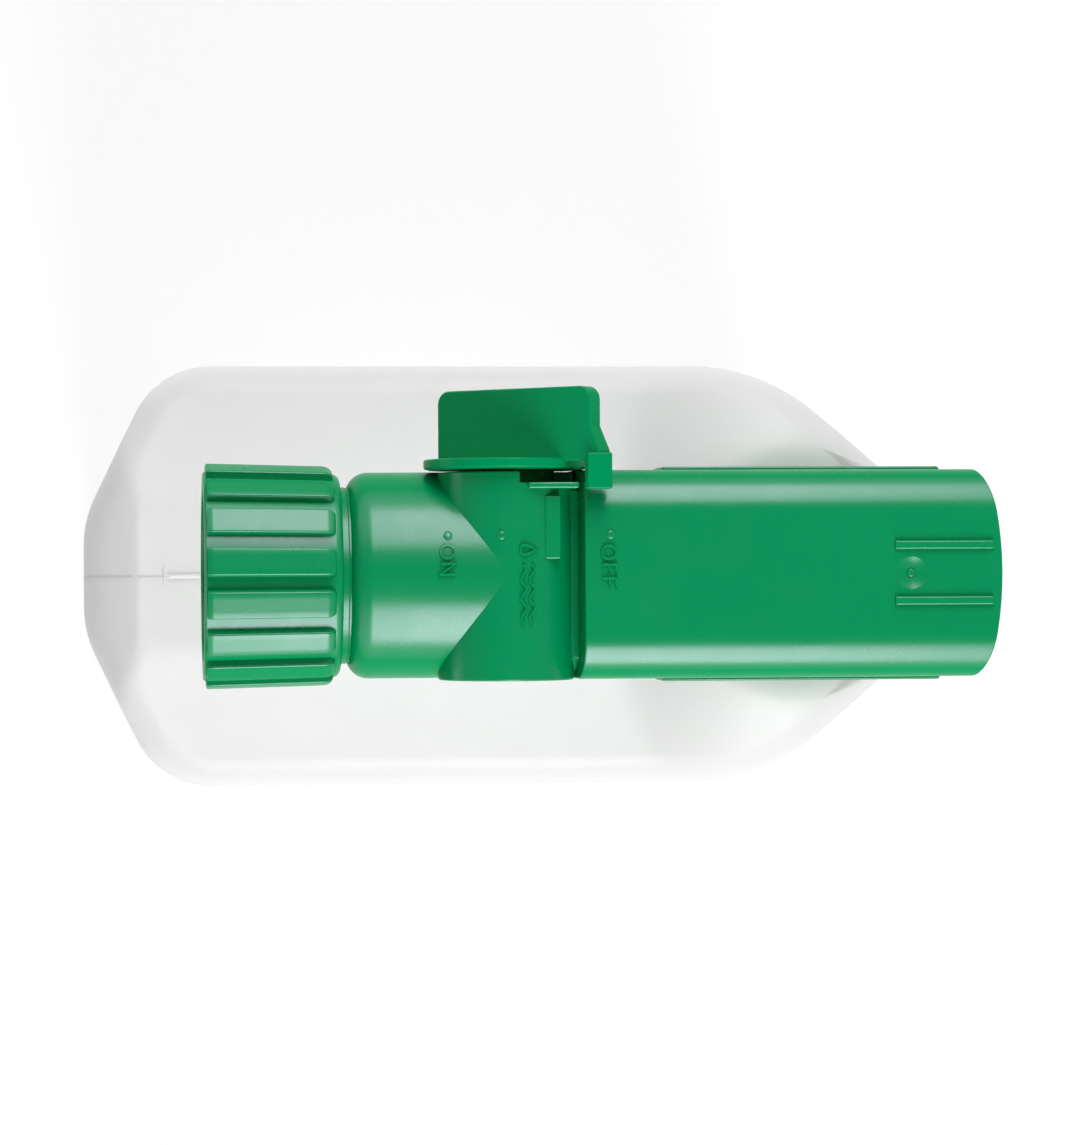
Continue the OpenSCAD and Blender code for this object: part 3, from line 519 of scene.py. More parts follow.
def dome(centre: Sequence[float], radius: float, height: float, sink: float, steps: int = 24) -> Form:
    """A low round pip with a soft top, its height as z.

    Args:
        centre: (x, y) of the middle.
        radius: Radius at the foot.
        height: Height of the top.
        sink: Depth of the foot under the surface.
        steps: Points round the pip.

    Returns:
        The pip.
    """
    (x, y), angles = centre, turn_angles(steps)
    rings = []
    for share, h in ((1.0, -sink), *((s, h * height) for s, h in DOME_SECTION)):
        reach = radius * share
        rings.append([(x + reach * math.cos(a), y + reach * math.sin(a), h) for a in angles])
    return grid(np.array(rings))


# Pieces


@dataclass(frozen=True)
class Piece:
    """A piece's name, body and slot; its finish is the slot's, unless it has its own."""

    name: str
    body: Body
    slot: Slot
    finish: Optional[Moulded] = None


def make_piece(
    piece: Piece, form: Form, sharp_deg: float = 35.0, fix_normals: bool = True
) -> bpy.types.Object:
    """Makes a mesh object from a form, dresses it and sets it riding.

    Args:
        piece: What the piece is.
        form: Its shape in millimetres.
        sharp_deg: Edges over this angle stay sharp.
        fix_normals: Whether its faces are turned outwards.

    Returns:
        The piece's object.
    """
    mesh = form.mesh(piece.name)
    mesh.validate()
    if fix_normals:
        shape = bmesh.new()
        shape.from_mesh(mesh)
        bmesh.ops.recalc_face_normals(shape, faces=shape.faces)
        shape.to_mesh(mesh)
        shape.free()
    return dress_mesh(piece, mesh, sharp_deg)


def dress_mesh(piece: Piece, mesh: bpy.types.Mesh, sharp_deg: Optional[float]) -> bpy.types.Object:
    """Puts a mesh in the scene with its finish and body, and sets it riding.

    Args:
        piece: What the piece is.
        mesh: Its mesh.
        sharp_deg: Edges over this angle stay sharp; None keeps the mesh's own sharp edges.

    Returns:
        The piece's object.
    """
    if sharp_deg is not None:
        mesh.shade_smooth()
        mesh.set_sharp_from_angle(angle=math.radians(sharp_deg))
    mesh.materials.clear()
    mesh.materials.append((piece.finish or FINISH_OF_SLOT[piece.slot]).material())
    made = stood(piece.name, mesh)
    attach(made, piece.body.value)
    log.info("made %s: %d faces on %s", piece.name, len(mesh.polygons), piece.body.value)
    return made


def softened_copy(piece: Piece, node: str, edge_mm: float, segments: int = 2) -> None:
    """Stands a copy of a CAD node in its place, merged and with a live Bevel on its sharp edges.

    Args:
        piece: What the copy is.
        node: The CAD node.
        edge_mm: Width of the rounded edges.
        segments: Faces across each rounded edge.
    """
    shape = bmesh.new()
    shape.from_mesh(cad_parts[node].data)
    bmesh.ops.remove_doubles(shape, verts=shape.verts, dist=MERGE_MM * MM)
    flat = math.radians(FLAT_FOLD)
    bmesh.ops.dissolve_limit(shape, angle_limit=flat, verts=list(shape.verts), edges=list(shape.edges))
    weight = shape.edges.layers.float.new("bevel_weight_edge")
    for edge in shape.edges:
        edge.smooth = True
        if len(edge.link_faces) != 2:
            continue
        fold = math.degrees(edge.calc_face_angle_signed(0.0))
        if fold > EDGE_FOLD:
            edge[weight] = 1.0
        elif fold > RIM_FOLD or fold < -CREASE_FOLD:
            edge.smooth = False
    for face in shape.faces:
        face.smooth = True
    mesh = bpy.data.meshes.new(piece.name)
    shape.to_mesh(mesh)
    shape.free()
    if "custom_normal" in mesh.attributes:
        mesh.attributes.remove(mesh.attributes["custom_normal"])
    made = dress_mesh(piece, mesh, sharp_deg=None)
    bevel = made.modifiers.new("rounded edges", "BEVEL")
    bevel.width = edge_mm * MM
    bevel.segments = segments
    bevel.limit_method = "WEIGHT"
    bevel.use_clamp_overlap = False
    bevel.harden_normals = True
    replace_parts(made, node)


def repeated(seed: Form, tree: bpy.types.NodeTree, values: dict[str, Any]) -> bpy.types.Mesh:
    """Runs a geometry tree on a form and keeps its result as a plain mesh.

    Args:
        seed: The form that the tree starts from, in millimetres.
        tree: The geometry tree.
        values: The tree's inputs by name.

    Returns:
        The resulting mesh.
    """
    holder = stood("seed", seed.mesh("seed"))
    change = holder.modifiers.new("repeat", "NODES")
    change.node_group = tree
    for item in tree.interface.items_tree:
        if item.item_type == "SOCKET" and item.in_out == "INPUT" and item.name in values:
            change[item.identifier] = values[item.name]
    bpy.context.view_layer.update()
    result = bpy.data.meshes.new_from_object(holder.evaluated_get(bpy.context.evaluated_depsgraph_get()))
    holder.modifiers.remove(change)
    bpy.data.objects.remove(holder)
    return result


# Bottle


def arc_corner(
    before: np.ndarray, at: np.ndarray, after: np.ndarray, radius: float, steps: int
) -> np.ndarray:
    """Points of a round corner between two straight lines, anticlockwise.

    Args:
        before: A point on the line that comes in.
        at: The sharp corner.
        after: A point on the line that goes out.
        radius: Radius of the corner.
        steps: Number of chords.

    Returns:
        The corner's points.
    """
    into, out = unit(before - at), unit(after - at)
    half = math.acos(float(into @ out)) / 2
    centre = at + unit(into + out) * radius / math.sin(half)
    first = at + into * radius / math.tan(half) - centre
    start = math.atan2(first[1], first[0])
    angles = start + (math.pi - 2 * half) * np.linspace(0, 1, steps + 1)
    return centre + radius * np.stack([np.cos(angles), np.sin(angles)], axis=1)


def between(first: np.ndarray, second: np.ndarray, count: int) -> np.ndarray:
    """Evenly spaced points strictly between two points."""
    share = np.linspace(0, 1, count + 2)[1:-1, None]
    return first + (second - first) * share


def level(outline: np.ndarray, z: float) -> np.ndarray:
    """A flat outline as a ring at one height."""
    return np.column_stack([outline, np.full(len(outline), z)])


def smooth_step(value: np.ndarray, low: float, high: float) -> np.ndarray:
    """A smooth rise from 0 at low to 1 at high."""
    t = np.clip((value - low) / (high - low), 0, 1)
    return t * t * (3 - 2 * t)


def soft_max(first: np.ndarray, second: np.ndarray, soft: float) -> np.ndarray:
    """The larger of two heights, with a rounded crease where they cross."""
    return second + soft * np.logaddexp(0, (first - second) / soft)


@dataclass
class BlownBottle:
    """The blow-moulded bottle: walls, label panels, shoulders, spine, cone, neck, base and mould seam."""

    spine_z: float = 165.0
    wall: float = 1.4
    nose_r: float = 25.0
    front_angle: float = math.radians(42)
    front_corner_r: float = 32.0
    back_half: float = 10.0
    back_angle: float = math.radians(64)
    back_corner_r: float = 15.0
    back_edge_r: float = 20.0
    edge_r: float = 5.0
    least_r: float = 1.0
    foot_r: float = 6.0
    foot_w: float = 4.0
    floor_rise: float = 1.0
    push_up: float = 3.0
    push_up_run: float = 5.0
    base_insets: tuple[float, ...] = (30.0, 24.0, 18.0)
    spine_half: float = 9.7
    spine_blend: float = 5.0
    shoulder_slope: float = math.tan(math.radians(20))
    platform_rise: float = 5.0
    platform_r: float = 22.5
    platform_soft: float = 1.6
    platform_steps: tuple[float, ...] = (21.5, 20.3, 19.0, 17.2)
    fine_share: float = 0.08
    inner_shares: tuple[float, float] = (0.97, 0.03)
    cone_slope: float = math.tan(math.radians(35))
    bevel_back: float = 9.5
    bevel_slope: float = math.tan(math.radians(48))
    crease_soft: float = 1.2
    bevel_soft: float = 0.25
    panel_depth: float = 0.6
    panel_step: float = 1.5
    panel_past: float = 0.5
    panel_x: tuple[float, float] = (-45.0, 25.0)
    panel_z: tuple[float, float] = (24.0, 138.0)
    neck_r: float = 15.0
    neck_fillet: float = 1.2
    neck_lip: float = 0.4
    neck_wall: float = 2.5
    neck_h: float = 22.0
    bead_z: float = 7.5
    bead_out: float = 0.35
    bead_h: float = 3.0
    seam_w: float = 0.5
    seam_h: float = 0.05
    seam_fade: tuple[float, float] = (0.15, 0.5)
    seam_gaps: tuple[float, float] = (4.0, 3.0)
    seam_overlap: float = 1.0
    flash_x: tuple[float, float] = (-60.8, -54.0)
    flash_w: float = 0.9
    flash_h: float = 0.45
    tick_y: tuple[float, float] = (-1.0, 1.6)
    tick_w: float = 0.6
    tick_h: float = 0.4
    tick_sink: float = 0.2

    def __post_init__(self) -> None:
        """Takes the length, width and neck from the frame, with room for the seam, and what follows."""
        low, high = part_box("bottle")
        self.length = (high.x - low.x) / MM - 2 * self.seam_h
        self.neck_x = high.x / MM - self.nose_r
        self.nose_r -= self.seam_h
        self.side_y = (high.y - low.y) / MM / 2
        self.platform_z = self.spine_z + self.platform_rise
        self.foot_in = self.foot_r + self.foot_w
        back = self.back_angle
        self.chamfer_c = math.sin(back) * self.length / 2 + math.cos(back) * self.back_half

    def plan(self, inset: float) -> np.ndarray:
        """The outline seen from above, set in from the walls.

        Args:
            inset: Distance in from the outer walls.

        Returns:
            Points, anticlockwise from the nose.
        """
        side = self.side_y - inset
        front, back = self.front_angle, self.back_angle
        nose_r = self.nose_r - inset
        tip = np.array([self.neck_x + nose_r / math.sin(front), 0.0])
        front_at = np.array([self.neck_x + (nose_r - math.cos(front) * side) / math.sin(front), side])
        back_at = np.array([(math.cos(back) * side - self.chamfer_c + inset) / math.sin(back), side])
        rear = -self.length / 2 + inset
        edge_at = np.array([rear, (self.chamfer_c - inset + math.sin(back) * rear) / math.cos(back)])
        flip = np.array([1.0, -1.0])
        nose = arc_corner(front_at * flip, tip, front_at, nose_r, 48)[24:]
        bend, rear_bend, rear_edge = (
            arc_corner(before, at, after, max(radius - inset, self.least_r), steps)
            for before, at, after, radius, steps in (
                (tip, front_at, back_at, self.front_corner_r, 36),
                (front_at, back_at, edge_at, self.back_corner_r, 20),
                (back_at, edge_at, edge_at * flip, self.back_edge_r, 10),
            )
        )
        (low_x, high_x), step, past = self.panel_x, self.panel_step, self.panel_past
        stations = np.concatenate(
            [
                np.linspace(high_x + past, high_x - step - past, 7),
                np.linspace(high_x, low_x, 36)[2:-2],
                np.linspace(low_x + step + past, low_x - past, 7),
            ]
        )
        side_row = np.stack([stations, np.full(len(stations), side)], axis=1)
        half = [nose]
        for count, row in ((10, bend), (6, side_row), (4, rear_bend), (8, rear_edge)):
            half += [between(half[-1][-1], row[0], count), row]
        half.append(between(rear_edge[-1], rear_edge[-1] * np.array([1.0, 0.0]), 6))
        outline = np.concatenate(half)
        return np.concatenate([outline, [[rear, 0.0]], (outline[::-1] * flip)[:-1]])

    def top_z(self, x: np.ndarray, y: np.ndarray) -> np.ndarray:
        """Height of the top surface: spine, shoulders, end bevel, and the cone round the platform.

        Args:
            x: Places along the bottle.
            y: Places across it.

        Returns:
            Heights over the ground.
        """
        off, blend = np.abs(y) - self.spine_half, self.spine_blend
        ramp = np.where(off <= 0, 0, np.where(off >= blend, off - blend / 2, off * off / (2 * blend)))
        shoulder = self.spine_z - self.shoulder_slope * ramp
        bevel = self.spine_z - self.bevel_slope * (self.bevel_back - self.length / 2 - x)
        shoulder = -soft_max(-shoulder, -bevel, self.bevel_soft)
        reach = np.hypot(x - self.neck_x, y) - self.platform_r
        return soft_max(self.platform_z - self.platform_drop(reach), shoulder, self.crease_soft)

    def platform_drop(self, reach: np.ndarray) -> np.ndarray:
        """How far the cone has dropped at a distance past the platform's edge, with that edge rounded."""
        return self.cone_slope * self.platform_soft * np.logaddexp(0, reach / self.platform_soft)

    def flat_ring(self, inset: float, z: float) -> np.ndarray:
        """The plan at one height."""
        return level(self.plan(inset), z)

    def wall_ring(self, z: float) -> np.ndarray:
        """The outer wall at one height, with the label panels sunk in its sides.

        Args:
            z: Height over the ground.

        Returns:
            The ring.
        """
        ring = self.flat_ring(0.0, z)
        sunk = np.where(np.abs(ring[:, 1]) > self.side_y - 1e-6, self.panel_depth, 0)
        for place, (low, high) in ((ring[:, 0], self.panel_x), (np.array([z]), self.panel_z)):
            step = self.panel_step
            sunk = sunk * smooth_step(place, low, low + step) * (1 - smooth_step(place, high - step, high))
        ring[:, 1] -= np.sign(ring[:, 1]) * sunk
        return ring

    def edge_ring(self, angle: float, skin: float) -> np.ndarray:
        """One ring of the rounded edge between walls and top.

        Args:
            angle: 0 at the wall, a quarter turn at the top.
            skin: Depth under the outer surface.

        Returns:
            The ring.
        """
        radius = self.edge_r - skin
        x, y = self.plan(skin + radius * (1 - math.cos(angle))).T
        return np.column_stack([x, y, self.top_z(x, y) - skin - radius * (1 - math.sin(angle))])

    def rays(self, share: float, radius: float) -> np.ndarray:
        """Points part of the way from the shoulder's edge to a circle about the neck.

        Args:
            share: 0 at the edge, 1 at the circle.
            radius: The circle's radius.

        Returns:
            The (x, y) points.
        """
        outline = self.plan(self.edge_r)
        centre = np.array([self.neck_x, 0.0])
        rim = centre + unit(outline - centre) * radius
        return outline + (rim - outline) * share

    def top_ring(self, share: float, skin: float) -> np.ndarray:
        """One ring of the top surface between the edge and the neck's platform."""
        x, y = self.rays(share, self.platform_r).T
        return np.column_stack([x, y, self.top_z(x, y) - skin])

    def neck_ring(self, radius: float, z: float) -> np.ndarray:
        """One ring of the neck at a height over its platform."""
        return level(self.rays(1.0, radius), self.platform_z + z)

    def base_rings(self) -> list[np.ndarray]:
        """The raised middle of the base, the ring that it stands on, and the bottom edge.

        Returns:
            Rings from the middle out.
        """
        rings = [self.flat_ring(inset, self.push_up) for inset in self.base_insets]
        for t in np.linspace(0, 1, 7):
            z = self.push_up * float(1 - smooth_step(t, 0, 1))
            rings.append(self.flat_ring(self.foot_in + self.push_up_run * (1 - t), z))
        return rings + [self.flat_ring(inset, z) for inset, z in quarter_arc(self.foot_r, 9)]

    def wall_rings(self) -> list[np.ndarray]:
        """The walls from the bottom edge up to the shoulder's edge.

        Returns:
            Rings from the bottom up.
        """
        low, high = self.panel_z
        step = self.panel_step
        heights = np.concatenate(
            [
                np.linspace(self.foot_r, low, 7)[1:-1],
                np.linspace(low, low + step, 5),
                np.linspace(low + step, high - step, 30)[1:-1],
                np.linspace(high - step, high, 5),
            ]
        )
        rings = [self.wall_ring(float(z)) for z in heights]
        first, last = rings[-1], self.edge_ring(0.0, 0.0)
        return rings + [first + (last - first) * t for t in np.linspace(0, 1, 7)[1:-1]]

    def neck_rings(self) -> list[np.ndarray]:
        """The platform, the neck with its snap bead, the lip, and the bore.

        Returns:
            Rings from the platform's edge up over the lip and down the bore.
        """
        radius, fillet, lip = self.neck_r, self.neck_fillet, self.neck_lip
        drops = -self.platform_drop(np.array(self.platform_steps) - self.platform_r)
        steps = list(zip(self.platform_steps, drops))
        steps += [(radius + out, z) for out, z in quarter_arc(fillet, 6)]
        out = radius + self.bead_out
        bore = radius - self.neck_wall
        steps += [
            (radius, self.bead_z - self.bead_out),
            (out, self.bead_z),
            (out, self.bead_z + self.bead_h - self.bead_out),
            (radius, self.bead_z + self.bead_h),
            (radius, self.neck_h - lip),
            (radius - lip, self.neck_h),
            (bore, self.neck_h),
            (bore, -self.wall),
        ]
        return [self.neck_ring(r, z) for r, z in steps]

    def inner_rings(self) -> list[np.ndarray]:
        """The inside of the wall, from under the platform down to the floor.

        Returns:
            Rings from the top down.
        """
        wall = self.wall
        rings = [self.top_ring(s, wall) for s in np.linspace(*self.inner_shares, 24)]
        rings += [self.edge_ring(a, wall) for a in np.linspace(QUARTER, 0, 5)]
        floor = (wall, self.foot_r + self.floor_rise), (self.foot_r, wall), (self.foot_in, wall)
        rings += [self.flat_ring(inset, z) for inset, z in floor]
        return rings + [self.flat_ring(self.foot_in + self.push_up_run, self.push_up + wall)]

    def build(self) -> None:
        """Makes the bottle's mesh in the CAD bottle's place."""
        edge = [self.edge_ring(a, 0.0) for a in np.linspace(0, QUARTER, 11)]
        fine = self.fine_share
        shares = np.concatenate([np.linspace(0, fine, 15)[1:], np.linspace(fine, 1, 66)[1:]])
        top = [self.top_ring(s, 0.0) for s in shares]
        rings = self.base_rings() + self.wall_rings() + edge + top + self.neck_rings() + self.inner_rings()
        piece = Piece("blown_bottle", Body.HEAD_AND_BOTTLE, Slot.BOTTLE)
        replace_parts(make_piece(piece, grid(np.array(rings)), sharp_deg=50.0, fix_normals=False), "bottle")

    def spine_top(self, x: float) -> float:
        """Height of the top surface over the middle line."""
        return float(self.top_z(np.array(x), np.array(0.0)))

    def seam_lines(self) -> list[np.ndarray]:
        """The outline in the mould's parting plane, before and behind the neck.

        Returns:
            Two rows of (x, z) points, each from the foot up to the neck.
        """
        lines = []
        low, high = self.seam_gaps
        for side, gap, wall_steps, top_steps in ((1, 1.0, 12, 4), (-1, 0.5, 16, 70)):
            end = side * self.length / 2
            foot = [(end - side * inset, z) for inset, z in quarter_arc(self.foot_r, 7, 0.3)]
            edge = []
            for drop, inset in quarter_arc(self.edge_r, 9):
                x = end - side * inset
                edge.append((x, self.spine_top(x) - drop))
            wall = [(end, z) for z in np.linspace(self.foot_r + low, edge[0][1] - high, wall_steps)]
            last = self.neck_x + side * (self.platform_r - self.seam_overlap)
            run = np.linspace(end - side * (self.edge_r + gap), last, top_steps)
            lines.append(np.array(foot + wall + edge + [(x, self.spine_top(x)) for x in run]))
        return lines

    def build_seam(self) -> None:
        """Makes the fine seam that the two mould halves leave, with its flash on the spine."""
        form = Form()
        for way in self.seam_lines():
            form.add(self.seam_ridge(way, self.seam_w, self.seam_h))
        low, high = self.flash_x
        flash = np.array([(x, self.spine_top(x)) for x in np.linspace(low, high, 16)])
        form.add(self.seam_ridge(flash, self.flash_w, self.flash_h))
        path = [(low, y) for y in (self.tick_y[0], 0.0, self.tick_y[1])]
        tick = ridge(path, self.tick_w, self.tick_h, self.tick_sink, closed=False)
        tick.points = [(x, y, self.spine_z + z) for x, y, z in tick.points]
        form.add(tick)
        make_piece(Piece("mould_seam", Body.HEAD_AND_BOTTLE, Slot.BOTTLE), form)

    def seam_ridge(self, way: np.ndarray, width: float, height: float) -> Form:
        """A low ridge in the parting plane, standing out from a line and fading at its ends.

        Args:
            way: The line's (x, z) points.
            width: Width at the foot.
            height: Height of the top.

        Returns:
            The ridge.
        """
        along = unit(np.gradient(way, axis=0))
        out = np.column_stack([along[:, 1], -along[:, 0]])
        if (out * (way - np.array([0.0, self.spine_z / 2]))).sum() < 0:
            out = -out
        steps = np.arange(len(way))
        first, more = self.seam_fade
        fade = np.minimum(1, first + more * np.minimum(steps, steps[::-1]))
        rings = []
        for point, normal, size in zip(way, out, fade):
            rises = [h * height * (size if h > 0 else 1) for _, h in SEAM_SECTION]
            rows = [(point + normal * rise, s * width) for rise, (s, _) in zip(rises, SEAM_SECTION)]
            rings.append([(at[0], y, at[1]) for at, y in rows])
        return grid(np.array(rings))


# Spray head

# Width in millimetres, and strokes in shares of the width and height
LETTERS = {
    "O": (2.15, [[((1 + math.cos(a)) / 2, (1 + math.sin(a)) / 2) for a in turn_angles(28)]]),
    "N": (1.65, [[(0, 0), (0, 1), (1, 0), (1, 1)]]),
    "F": (1.3, [[(0, 0), (0, 1), (1, 1)], [(0, 0.52), (0.85, 0.52)]]),
}


@dataclass
class MouldMarks:
    """Raised signs on top of the head: pips, letters as strokes, and the sign for clear water."""

    stroke_w: float = 0.5
    stroke_h: float = 0.38
    sink: float = 0.2
    letter_h: float = 2.75
    letter_gap: float = 0.9
    pip_r: float = 0.75
    pip_h: float = 0.28
    drop_at: tuple[float, float] = (1.1, 1.3)
    drop_half: tuple[float, float] = (1.05, 1.25)
    wave_from: float = 3.5
    wave_run: float = 9.3
    wave_pitch: float = 3.1
    wave_swing: float = 0.42
    wave_levels: tuple[float, float] = (0.55, 1.95)
    pips: tuple[tuple[float, float], ...] = ((-16.4, 6.3), (-7.95, 6.3), (9.65, 6.35))
    on_at: tuple[float, float] = (-17.9, 4.8)
    water_at: tuple[float, float] = (-5.2, 5.1)
    off_at: tuple[float, float] = (8.0, 4.6)

    def letters(self, word: str) -> list[tuple[np.ndarray, bool]]:
        """Strokes of a word, with x along the word and y up the letters.

        Args:
            word: Made of O, N and F.

        Returns:
            Each stroke's points, and whether it is closed.
        """
        strokes = []
        x = 0.0
        for letter in word:
            wide, shapes = LETTERS[letter]
            size = (wide, self.letter_h - self.stroke_w)
            strokes += [(np.array(shape) * size + (x, 0), letter == "O") for shape in shapes]
            x += wide + self.letter_gap
        return strokes

    def water_sign(self) -> list[tuple[np.ndarray, bool]]:
        """A drop and two waves, in the place of a word.

        Returns:
            Each stroke's points, and whether it is closed.
        """
        a = turn_angles(26)
        (x, y), (half_x, half_y) = self.drop_at, self.drop_half
        narrow = half_x * np.sin(a) * np.sin(a / 2) ** 1.3
        strokes = [(np.column_stack([x + narrow, y + half_y * np.cos(a)]), True)]
        run = np.linspace(0, self.wave_run, 60)
        rise = self.wave_swing * np.sin(run * TURN / self.wave_pitch)
        for level in self.wave_levels:
            strokes.append((np.column_stack([self.wave_from + run, level + rise]), False))
        return strokes

    def form(self) -> Form:
        """All signs, flat.

        Returns:
            The signs, with places on the head as x and y, and heights over its surface as z.
        """
        signs = (
            (self.letters("ON"), self.on_at),
            (self.letters("OFF"), self.off_at),
            (self.water_sign(), self.water_at),
        )
        made = Form()
        for strokes, (x, y) in signs:
            for path, closed in strokes:
                placed = np.column_stack([x + self.stroke_w / 2 + path[:, 1], y - path[:, 0]])
                made.add(ridge(placed, self.stroke_w, self.stroke_h, self.sink, closed))
        for centre in self.pips:
            made.add(dome(centre, self.pip_r, self.pip_h, self.sink))
        return made

    def build(self) -> None:
        """Lays the signs on the head's upper surface and makes them a piece."""
        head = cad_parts["sprayer_body"].data
        head.calc_loop_triangles()
        corner_rows = [t.vertices[:] for t in head.loop_triangles]
        surface = BVHTree.FromPolygons([v.co[:] for v in head.vertices], corner_rows)
        above = 2 * CAD_BOX[1].z
        made = self.form()
        for k, (x, y, height) in enumerate(made.points):
            hit = surface.ray_cast(Vector((x * MM, y * MM, above)), Vector((0, 0, -1)))[0]
            made.points[k] = (x, y, hit.z / MM + height)
        make_piece(Piece("moulded_signs", Body.HEAD_AND_BOTTLE, Slot.HEAD), made)


@dataclass
class SprayHead:
    """The snap-on head: body, stem, tip and signs."""

    body_edge: float = 0.3
    stem_edge: float = 0.25
    tip_edge: float = 0.25
    marks: MouldMarks = field(default_factory=MouldMarks)

    def build(self) -> None:
        """Makes the head's pieces."""
        for node, name, edge in (
            ("sprayer_body", "head_moulding", self.body_edge),
            ("inlet_stem", "stem_moulding", self.stem_edge),
            ("spray_tip", "tip_moulding", self.tip_edge),
        ):
            softened_copy(Piece(name, Body.HEAD_AND_BOTTLE, Slot.HEAD), node, edge)
        self.marks.build()


# Valve and coupling


@dataclass
class ValveKnob:
    """The quarter-turn knob with its paddle and pointer, and the thrust flange behind its disc."""

    edge: float = 0.35
    flange_bore: float = 8.1
    flange_r: float = 12.6
    flange_y: tuple[float, float] = (16.96, 17.08)

    def thrust_flange(self) -> Form:
        """The thin flange that closes the gap behind the disc, turned on the valve's axis.

        Returns:
            The flange.
        """
        low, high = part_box("valve_plug")
        middle = (low + high) / 2 / MM
        first, last = self.flange_y
        outline = [(y - first, self.flange_r) for y in (first, last)]
        outline += [(y - first, self.flange_bore) for y in (last, first)]
        return revolved(outline, 96, (middle.x, first, middle.z), Matrix.Rotation(-QUARTER, 3, "X"))

    def build(self) -> None:
        """Makes the knob's moulding and its flange."""
        # The knob takes the low-gloss copy of the green, which paints the shade that falls on it
        knob = Piece("knob_moulding", Body.VALVE, Slot.HEAD, KNOB_PP)
        softened_copy(knob, "valve_knob", self.edge, segments=3)
        make_piece(replace(knob, name="knob_flange"), self.thrust_flange())


